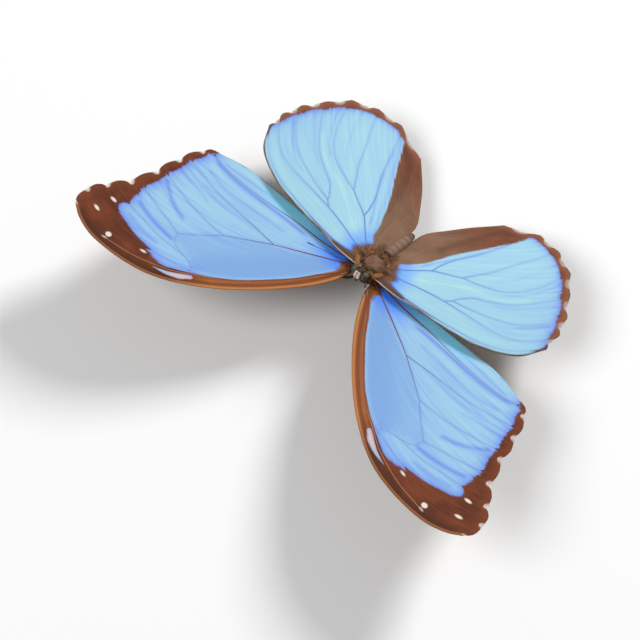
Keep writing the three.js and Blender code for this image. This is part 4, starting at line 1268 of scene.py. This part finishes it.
def body_markings(places, zones, rng):
    """Colour shares that the skin and the coat both carry."""
    x, y, z = places.T
    plan = np.stack([np.abs(x), y], axis=1)
    head, abdomen, shield, hairy = (zones[zone] for zone in ("head", "abdomen", "shield", "hairy"))
    collar, dorsal, ring = zones["collar"], zones["dorsal"], zones["ring"]
    back = smooth(dorsal, 0, 0.3)
    patchy = 0.5 + 0.25 * np.sin(2.1 * x + 1.3 * y) + 0.25 * np.sin(3.7 * x - 2.6 * y + 1.9 * z)
    clumps = 0.5 + 0.5 * np.sin(7.3 * x + 3.1 * y) * np.sin(5.9 * y - 4.6 * x + 2.4 * z)
    # Dark nape and waist; painted shade in the gaps before and behind the shield; a golden fringe round its
    # hind end.
    nape = collar * smooth(plan[:, 0], 2.1, 1.3)
    waist = abdomen * smooth(y, 6.6, 5.2)
    gap, behind, arc = (away_from(plan, route) for route in (SHADED_GAP_BEFORE_SHIELD, SHADED_GAP_BEHIND_SHIELD, GOLDEN_ARC))
    golden = hairy * smooth(arc, 0.55, 0.25)
    groove = smooth(ring, 0.74, 0.88) + smooth(ring, 0.14, 0.04)
    orange = hairy * (0.42 + 0.58 * patchy) + 0.18 * shield * patchy + 0.3 * collar - 0.6 * nape
    orange = orange + 0.35 * hairy * (clumps - 0.5) + 0.6 * golden + 0.35 * waist
    dark = 0.85 * head + 0.6 * collar * smooth(patchy, 0.3, 0.8) + 0.6 * nape
    # Dark between the clumps of hair is painted shade in the gaps between the wisps.
    dark = dark + 0.55 * hairy * smooth(clumps, 0.34, 0.1)
    dark = dark + shield * (0.1 + 0.25 * smooth(patchy, 0.5, 0.2))
    # Painted shade in the gaps before and behind the shield, on the back.
    dark = dark + zones["thorax"] * smooth(gap, 0.75, 0.35) * back + 0.8 * smooth(behind, 0.4, 0.15) * back
    dark = dark + 0.8 * smooth(np.abs(y - 5.2), 0.5, 0.2)
    dark = (dark + 0.5 * hairy * smooth(np.abs(arc - 0.85), 0.3, 0.1)) * (1 - 0.9 * golden)
    # Painted shade in the gap beside the waist, where the hindwing's root meets the body.
    dark = dark + 0.8 * zones["thorax"] * smooth(np.hypot(plan[:, 0] - 1.3, y - 3.6), 1.3, 0.6)
    dark = dark + abdomen * (0.55 * groove + 0.6 * smooth(y, 12.6, 15.2)) + 0.55 * waist
    # Hair that faces down is darker, which is painted shade; patchy hair is darker at random.
    dark = dark + 0.35 * hairy * smooth(dorsal, -0.1, -0.6) + 0.25 * hairy * smooth(patchy, 0.4, 0.1)
    face = smooth(eye_gap(places) / 1.35, 0.95, 0.85) * smooth(dorsal, 0.2, -0.4)
    jitter = rng.normal(0, 0.12, len(places))
    return {
        "orange": np.clip(orange + jitter, 0, 1), "dark": np.clip(dark + 0.6 * jitter, 0, 1),
        "grey": 0.9 * abdomen * (1 - waist) + 0.2 * shield, "white": 0.25 * head * face,
        "tone": rng.uniform(0, 1, len(places)),
    }


def scatter(points, quads, normals, weight, count, rng):
    """Random places on a surface, more of them where the weight of its points is higher."""
    area = 0.5 * np.linalg.norm(face_vectors(points, quads), axis=1)
    share = area * weight[quads].mean(axis=1)
    corners = quads[rng.choice(len(quads), count, p=share / share.sum())]
    p, q = rng.uniform(size=(2, count, 1))
    blend = [(1 - p) * (1 - q), p * (1 - q), p * q, (1 - p) * q]
    place, normal = (
        sum(part * values[corner] for part, corner in zip(blend, corners.T)) for values in (points, normals)
    )
    return place, unit(normal)


def body_lie(places, normals, zones, rng):
    """The coat runs back along the body, out over the shoulders and up over the face."""
    x = places[:, 0]
    sideways = 0.22 * x * zones["thorax"] + 0.5 * np.sign(x) * zones["side"]
    lie = np.stack([sideways, np.ones(len(x)), 1.1 * zones["head"] - 0.45], axis=1)
    lie += rng.normal(0, 1, places.shape) * (0.08 + 0.22 * zones["hairy"])[:, None]
    return unit(lie - normals * (lie * normals).sum(axis=1, keepdims=True))


def build_body(look):
    """One skin for head, collar, thorax and abdomen, and the coat on it."""
    rng = np.random.default_rng(11)
    points, quads = skin_form()
    normals = vertex_normals(points, quads)
    zones = body_zones(points, normals)
    fields = body_markings(points, zones, rng)
    fields.update({"tip": np.zeros(len(points)), "tone": np.full(len(points), 0.4)})
    skin = new_mesh("body_skin", points, [quads], fields, body_unwrap(points))
    dress(skin, [look], "body_hair", "head", "collar", "thorax", "abdomen")
    weight = 1 + 0.8 * zones["shield"] + 0.5 * zones["head"] + 0.1 * zones["abdomen"]
    build_body_coat(look, *scatter(points, quads, normals, weight, BODY_TUFTS, rng), rng)


def build_body_coat(look, roots, outward, rng):
    """Short tufts on head, shield and abdomen, long ones on the sides and behind the shield."""
    zones = body_zones(roots, outward)
    x, y, _ = roots.T
    hairy = zones["hairy"] * (1 - 0.6 * smooth(np.hypot(np.abs(x) - 2.3, y + 1.8), 1.0, 0.5))
    tail = smooth(y, 1.4, 2.8) * smooth(np.abs(x), 0.6, 1.4)
    length = 0.26 + hairy * (0.95 + 0.9 * tail + 0.4 * zones["side"] - 0.25 * zones["collar"])
    length = length * rng.uniform(0.65, 1.25, len(roots))
    width = 0.13 - 0.045 * hairy + 0.03 * zones["abdomen"]
    lift = (0.16 + 0.34 * hairy + 0.12 * zones["head"]) * rng.uniform(0.5, 1.5, len(roots))
    fields = body_markings(roots, zones, rng)
    lie = body_lie(roots, outward, zones, rng)
    free = eye_gap(roots) > 1.0 + 0.32 * zones["head"]
    columns = (roots - outward * BODY_TUFT_SUNK, outward, lie, length, width, lift)
    shares = {key: value[free] for key, value in fields.items()}
    build_coat("body_coat", look, "body_hair", *(column[free] for column in columns), shares,
               body_unwrap(roots)[free])


# ---------------------------------------------------------------- head, feelers, legs


def build_solid(name, form, look, slot, nodes=(), fields=None):
    points, quads, triangles = form
    dress(new_mesh(name, points, [quads, triangles], fields), [look], slot, *nodes)


def part_palps(fields, points, parting):
    """Makes the coat pinkish where the two palps meet."""
    share = smooth(np.abs(points[:, 0]), parting, 0.3 * parting)
    fields["white"] = fields["white"] * (1 - 0.5 * share)
    fields["orange"] = np.maximum(fields["orange"], 0.9 * share)


def build_furry(name, form, fur, lie, look, nodes=()):
    """A form and, as a second piece, the short coat on it."""
    points, quads, _ = form
    rng = np.random.default_rng(len(name))
    normals = vertex_normals(points, quads)
    spec = FUR[fur]
    count = spec["count"]
    shades = {key: np.full(len(points), value) for key, value in zip(SHADES, spec["shades"])}
    shades.update({"tip": np.zeros(len(points)), "tone": np.full(len(points), 0.5)})
    roots, outward = scatter(points, quads, normals, np.ones(len(points)), count, rng)
    lie = np.array(lie) + rng.normal(0, spec["spread"], (count, 3))
    lie = unit(lie - outward * (lie * outward).sum(axis=1, keepdims=True))
    fields = {
        key: np.clip(value + rng.normal(0, 0.12, count), 0, 1) for key, value in zip(SHADES, spec["shades"])
    }
    fields["tone"] = rng.uniform(0, 1, count)
    if fur == "palp":
        part_palps(shades, points, spec["parting"])
        part_palps(fields, roots, spec["parting"])
    build_solid(name, form, look, spec["slot"], nodes, shades)
    low, high = points.min(axis=0), points.max(axis=0)
    share = (roots - low) / (high - low)
    uv = np.stack([share[:, 0] * 0.49 + 0.5 * (outward[:, 2] > 0), share[:, 1:].mean(axis=1)], axis=1)
    length = spec["length"] * rng.uniform(0.6, 1.2, count)
    lift = spec["lift"] * rng.uniform(0.5, 1.5, count)
    build_coat(f"{name}_coat", look, spec["slot"], roots - outward * TUFT_SUNK, outward, lie, length,
               spec["width"], lift, fields, uv)


def build_antenna(suffix, side, look):
    """Ringed shaft with a slender club, in a small socket."""
    sides = 12
    share = np.linspace(0, 1, 8 * ANTENNA["rings"] + 1)
    towards = unit(ANTENNA["towards"][side])
    centres = mirror(ANTENNA["base"], side) + towards * (ANTENNA["length"] * share)[:, None]
    club = np.clip((share - 1 + ANTENNA["club_share"]) / ANTENNA["club_share"], 0, 1)
    ring = (share * ANTENNA["rings"]) % 1
    radius = between(np.sin(club * 2.3) ** 1.2, ANTENNA["shaft"], ANTENNA["club"])
    radius = radius * (1 - 0.35 * smooth(club, 0.85, 1)) + 0.05 * smooth(share, 0.02, 0)
    radius = radius * (0.95 + 0.1 * np.sin(np.pi * ring))
    fields = {"club": [*np.repeat(club, sides), 0, 1], "ring": [*np.repeat(ring, sides), 0, 0]}
    node = f"antenna_{suffix}"
    build_solid(node, tube(centres, radius, sides=sides), look, "antenna", [node], fields)
    socket = ball(mirror(ANTENNA["socket"], side), ANTENNA["socket_radii"], 30, 10, 16)
    fields = {"club": np.zeros(len(socket[0])), "ring": np.ones(len(socket[0]))}
    build_solid(f"antenna_socket_{suffix}", socket, look, "antenna", (), fields)


def build_proboscis(look):
    """Coiled tongue between the palps."""
    share = np.linspace(0, 1, 120)
    angle = 2 * np.pi * PROBOSCIS["turns"] * share + PROBOSCIS["start"]
    reach = PROBOSCIS["radius"] * between(share, 1, PROBOSCIS["inner_share"])
    coil = np.stack([0 * share, reach * np.cos(angle), reach * np.sin(angle)], axis=1)
    thickness = PROBOSCIS["thickness"] * (1 - 0.5 * share)
    centres = coil + PROBOSCIS["centre"]
    form = tube(centres, PROBOSCIS["flat"] * thickness, thickness, 10, across=(1, 0, 0), phase=0)
    build_solid("proboscis", form, look, "chitin", ["proboscis"])


def leg_form(joints):
    """Femur, tibia and the five rings of the tarsus, with claws and spines."""
    hip, sag, knee, ankle, toe = joints
    share = np.linspace(0, 1, 16)
    femur = FEMUR * (0.72 + 0.28 * np.sin(np.pi * np.minimum(1, share * 1.1 + 0.15)))
    femur[-1] *= 0.6
    tibia = TIBIA - 0.04 * share + 0.05 * smooth(share, 0.1, 0) + 0.05 * smooth(share, 0.9, 1)
    tibia[[0, -1]] *= 0.7
    forms = [
        tube(spline([hip, sag, knee], share), femur, sides=14),
        tube(knee + (ankle - knee) * share[:, None], tibia),
    ]
    landing = ankle + (toe - ankle) * 0.18
    landing[2] = toe[2]
    stations = [ankle, landing, *(landing + (toe - landing) * s for s in TARSUS_RINGS)]
    local = np.linspace(0, 1, 7)
    ring = TARSUS + 0.055 * local**1.5
    ring[-1] *= 0.6
    for start, end in zip(stations, stations[1:]):
        forms.append(tube(start + (end - start) * local[:, None], ring, sides=10, sole=FLOOR_LEVEL))
    heading = unit(toe - landing)
    sideways = np.array([-heading[1], heading[0], 0])
    for turn in (1, -1):
        claw = [toe + heading * ahead + sideways * turn * aside + [0, 0, up] for ahead, aside, up in CLAW]
        forms.append(tube(spline(claw, 7), np.linspace(0.07, 0.02, 7), sides=6, sole=FLOOR_LEVEL))
    # Spines stand round the tibia and lean towards the foot.
    axis = unit(ankle - knee)
    beside = unit(np.cross(axis, [0, 0, 1]))
    for number in range(LEG_SPINES):
        root = knee + (ankle - knee) * (0.12 + 0.86 * number / (LEG_SPINES - 1))
        turn = GOLDEN_ANGLE * number
        out = beside * math.cos(turn) + np.cross(beside, axis) * math.sin(turn)
        spine = [root + out * 0.15, root + out * 0.36 + axis * 0.16, root + out * 0.42 + axis * 0.4]
        forms.append(tube(spline(spine, 4), np.linspace(0.045, 0.012, 4), sides=5))
    return joined(forms)


def build_head(suffix, side, looks):
    """Eye, palp and antenna of one side."""
    eye = ball(mirror(EYE["centre"], side), np.array(EYE["radii"]) - 0.02, EYE["pitch"], 30, 44)
    build_solid(f"eye_{suffix}", eye, looks["eye"], "eye", [f"eye_{suffix}"])
    name = f"palp_{suffix}"
    build_furry(name, drop_form(PALP, side), "palp", PALP["lie"], looks["coat"], [name])
    build_antenna(suffix, side, looks["antenna"])


def build_legs(suffix, side, looks):
    """Walking legs with furry thighs, and the small folded foreleg."""
    for name, line in LEGS.items():
        joints = mirror(line, side)
        parts = [f"{name}_{part}_{suffix}" for part in ("femur", "tibia", "tarsus")]
        build_solid(f"{name}_{suffix}", leg_form(joints), looks["shell"], "chitin", parts)
        sleeve = tube(spline(joints[:3], 16), SLEEVE)
        build_furry(f"{name}_sleeve_{suffix}", sleeve, "sleeve", unit(joints[2] - joints[0]), looks["coat"])
    joints = mirror(FORELEG["line"], side)
    form = tube(spline(joints, 20), np.linspace(FORELEG["radius"], FORELEG["tip"], 20))
    lie = unit(joints[2] - joints[0])
    build_furry(f"foreleg_{suffix}", form, "foreleg", lie, looks["coat"], [f"foreleg_{suffix}"])


def build_tegula(suffix, side, looks):
    name = f"tegula_{suffix}"
    build_furry(name, drop_form(TEGULA, side), "tegula", mirror(TEGULA["lie"], side), looks["coat"], [name])


def build_wing_hair(name, suffix, side, chart, coat):
    """Strands of hair on a wing near the body."""
    rng = np.random.default_rng(23)
    parts = []
    for route, half, reach, *shares, count in WING_HAIR[name]:
        line = spline(route, STRAND["places"])
        along = unit(np.gradient(line, axis=0))
        at = rng.integers(0, STRAND["rooted"], count)
        away = rng.normal(0, 0.5, count) * half
        places = line[at] + np.stack([-along[at, 1], along[at, 0]], axis=1) * away[:, None]
        row, column = chart.locate(places)
        normal = unit(chart.sample(chart.normal, row, column))
        raised = normal * (chart.sample(chart.half, row, column) - STRAND["sunk"])[:, None]
        lie = unit(np.column_stack([rng.normal(0, 0.1, (count, 2)) + along[at], np.zeros(count)]))
        lie = unit(lie - normal * (lie * normal).sum(axis=1, keepdims=True))
        orange, dark = (np.clip(share + rng.normal(0, 0.15, count), 0, 1) for share in shares)
        length = reach * rng.uniform(0.5, 1.0, count)
        astray = np.linalg.norm(chart.sample(chart.plan, row, column) - places, axis=1)
        root = chart.sample(chart.middle, row, column) + raised
        columns = (root, normal, lie, length, places, orange, dark)
        parts.append([values[astray < STRAND["off_wing"]] for values in columns])
    roots, normal, lie, length, places, orange, dark = (np.concatenate(column) for column in zip(*parts))
    count = len(roots)
    fields = {
        "orange": orange, "dark": dark, "grey": np.full(count, 0.1), "white": np.zeros(count),
        "tone": rng.uniform(0, 1, count),
    }
    lift = rng.uniform(0.05, 0.3, count)
    build_coat(f"{name}_hair_{suffix}", coat, "body_hair", roots, normal, lie, length, STRAND["width"], lift,
               fields, wing_unwrap(places, chart), side)


def build_tufts(coat):
    """Golden, cream and dark tufts that stand out on the neck and beside the waist."""
    rng = np.random.default_rng(31)
    parts = []
    for root, heading, length, spread, *shares, count in TUFTS:
        for _, side in SIDES:
            roots = mirror(root, side) + rng.normal(0, spread, (count, 3))
            lies = unit(mirror(heading, side) + rng.normal(0, 0.12, (count, 3)))
            lengths = length * rng.uniform(0.6, 1.1, count)
            parts.append((roots, lies, lengths, *(np.full(count, share) for share in shares)))
    roots, lies, lengths, orange, white, dark = (np.concatenate(column) for column in zip(*parts))
    fields = {
        "orange": orange, "white": white, "dark": dark, "grey": np.zeros(len(roots)),
        "tone": rng.uniform(0, 1, len(roots)),
    }
    upward = unit(np.cross(np.cross(lies, [0, 0, 1]), lies))
    build_coat("loose_tufts", coat, "body_hair", roots, upward, lies, lengths, LOOSE_WIDTH, LOOSE_LIFT,
               fields, body_unwrap(roots))


# ---------------------------------------------------------------- studio


def set_up(kind, spec, distance, aim):
    """A camera or a lamp at a distance from what it is aimed at, in metres."""
    azimuth, elevation = math.radians(spec["azimuth"]), math.radians(spec["elevation"])
    level = math.cos(elevation)
    back = np.array([math.sin(azimuth) * level, -math.cos(azimuth) * level, math.sin(elevation)])
    made = bpy.data.objects.new(spec["name"], kind)
    made.location = aim + distance * back
    made.rotation_euler = (math.pi / 2 - elevation, 0, azimuth)
    bpy.context.scene.collection.objects.link(made)
    return made


def build_camera():
    data = bpy.data.cameras.new("camera")
    data.lens = CAMERA["lens"]
    data.sensor_width = CAMERA["sensor"]
    data.clip_start = 0.01
    aim = (REFERENCE + np.array(CAMERA["aim"])) * METRES
    bpy.context.scene.camera = set_up(data, CAMERA, CAMERA["distance"] * METRES, aim)


def build_studio():
    """Lamps, an even sky and a pale floor."""
    for spec in LIGHTS:
        data = bpy.data.lights.new(spec["name"], "AREA")
        data.shape = "DISK"
        data.size = spec["size"]
        data.energy = spec["power"]
        set_up(data, spec, LIGHT_DISTANCE, np.zeros(3))
    world = bpy.data.worlds.new("studio")
    world.use_nodes = True
    sky = world.node_tree.nodes["Background"]
    sky.inputs["Color"].default_value = (1, 1, 1, 1)
    sky.inputs["Strength"].default_value = SKY_STRENGTH
    bpy.context.scene.world = world
    half = FLOOR_SIZE / 2
    corners = [(-half, -half, 0), (half, -half, 0), (half, half, 0), (-half, half, 0)]
    mesh = bpy.data.meshes.new("floor")
    mesh.from_pydata(corners, [], [(0, 1, 2, 3)])
    floor = bpy.data.objects.new("floor", mesh)
    floor.data.materials.append(floor_look())
    bpy.context.scene.collection.objects.link(floor)
    bpy.context.scene.view_settings.view_transform = "Standard"


# ---------------------------------------------------------------- assembly


def build_wings(coat):
    fringe = fringe_look()
    wing_looks = {
        "forewing": (upper_forewing(), under_wing("forewing_under"), vein_look(
            "forewing_veins", ((104, 54, 32), (122, 68, 54), (92, 76, 96), (76, 96, 160)),
            ((92, 50, 28), (132, 76, 48)),
        ), fringe),
        "hindwing": (upper_hindwing(), under_wing("hindwing_under"), vein_look(
            "hindwing_veins", ((78, 112, 190), (100, 140, 208), (120, 160, 220), (130, 168, 222)),
            ((112, 82, 62), (110, 68, 48)),
        ), fringe),
    }
    for suffix, side in SIDES:
        charts = {name: build_wing(name, suffix, side, looks) for name, looks in wing_looks.items()}
        for name, chart in charts.items():
            build_wing_hair(name, suffix, side, chart, coat)


def build_butterfly():
    looks = {"coat": coat_look(), "shell": shell_look(), "eye": eye_look(), "antenna": antenna_look()}
    build_wings(looks["coat"])
    build_body(looks["coat"])
    for suffix, side in SIDES:
        build_head(suffix, side, looks)
    build_proboscis(looks["shell"])
    for suffix, side in SIDES:
        build_tegula(suffix, side, looks)
    build_tufts(looks["coat"])
    for suffix, side in SIDES:
        build_legs(suffix, side, looks)


build_camera()
build_studio()
build_butterfly()
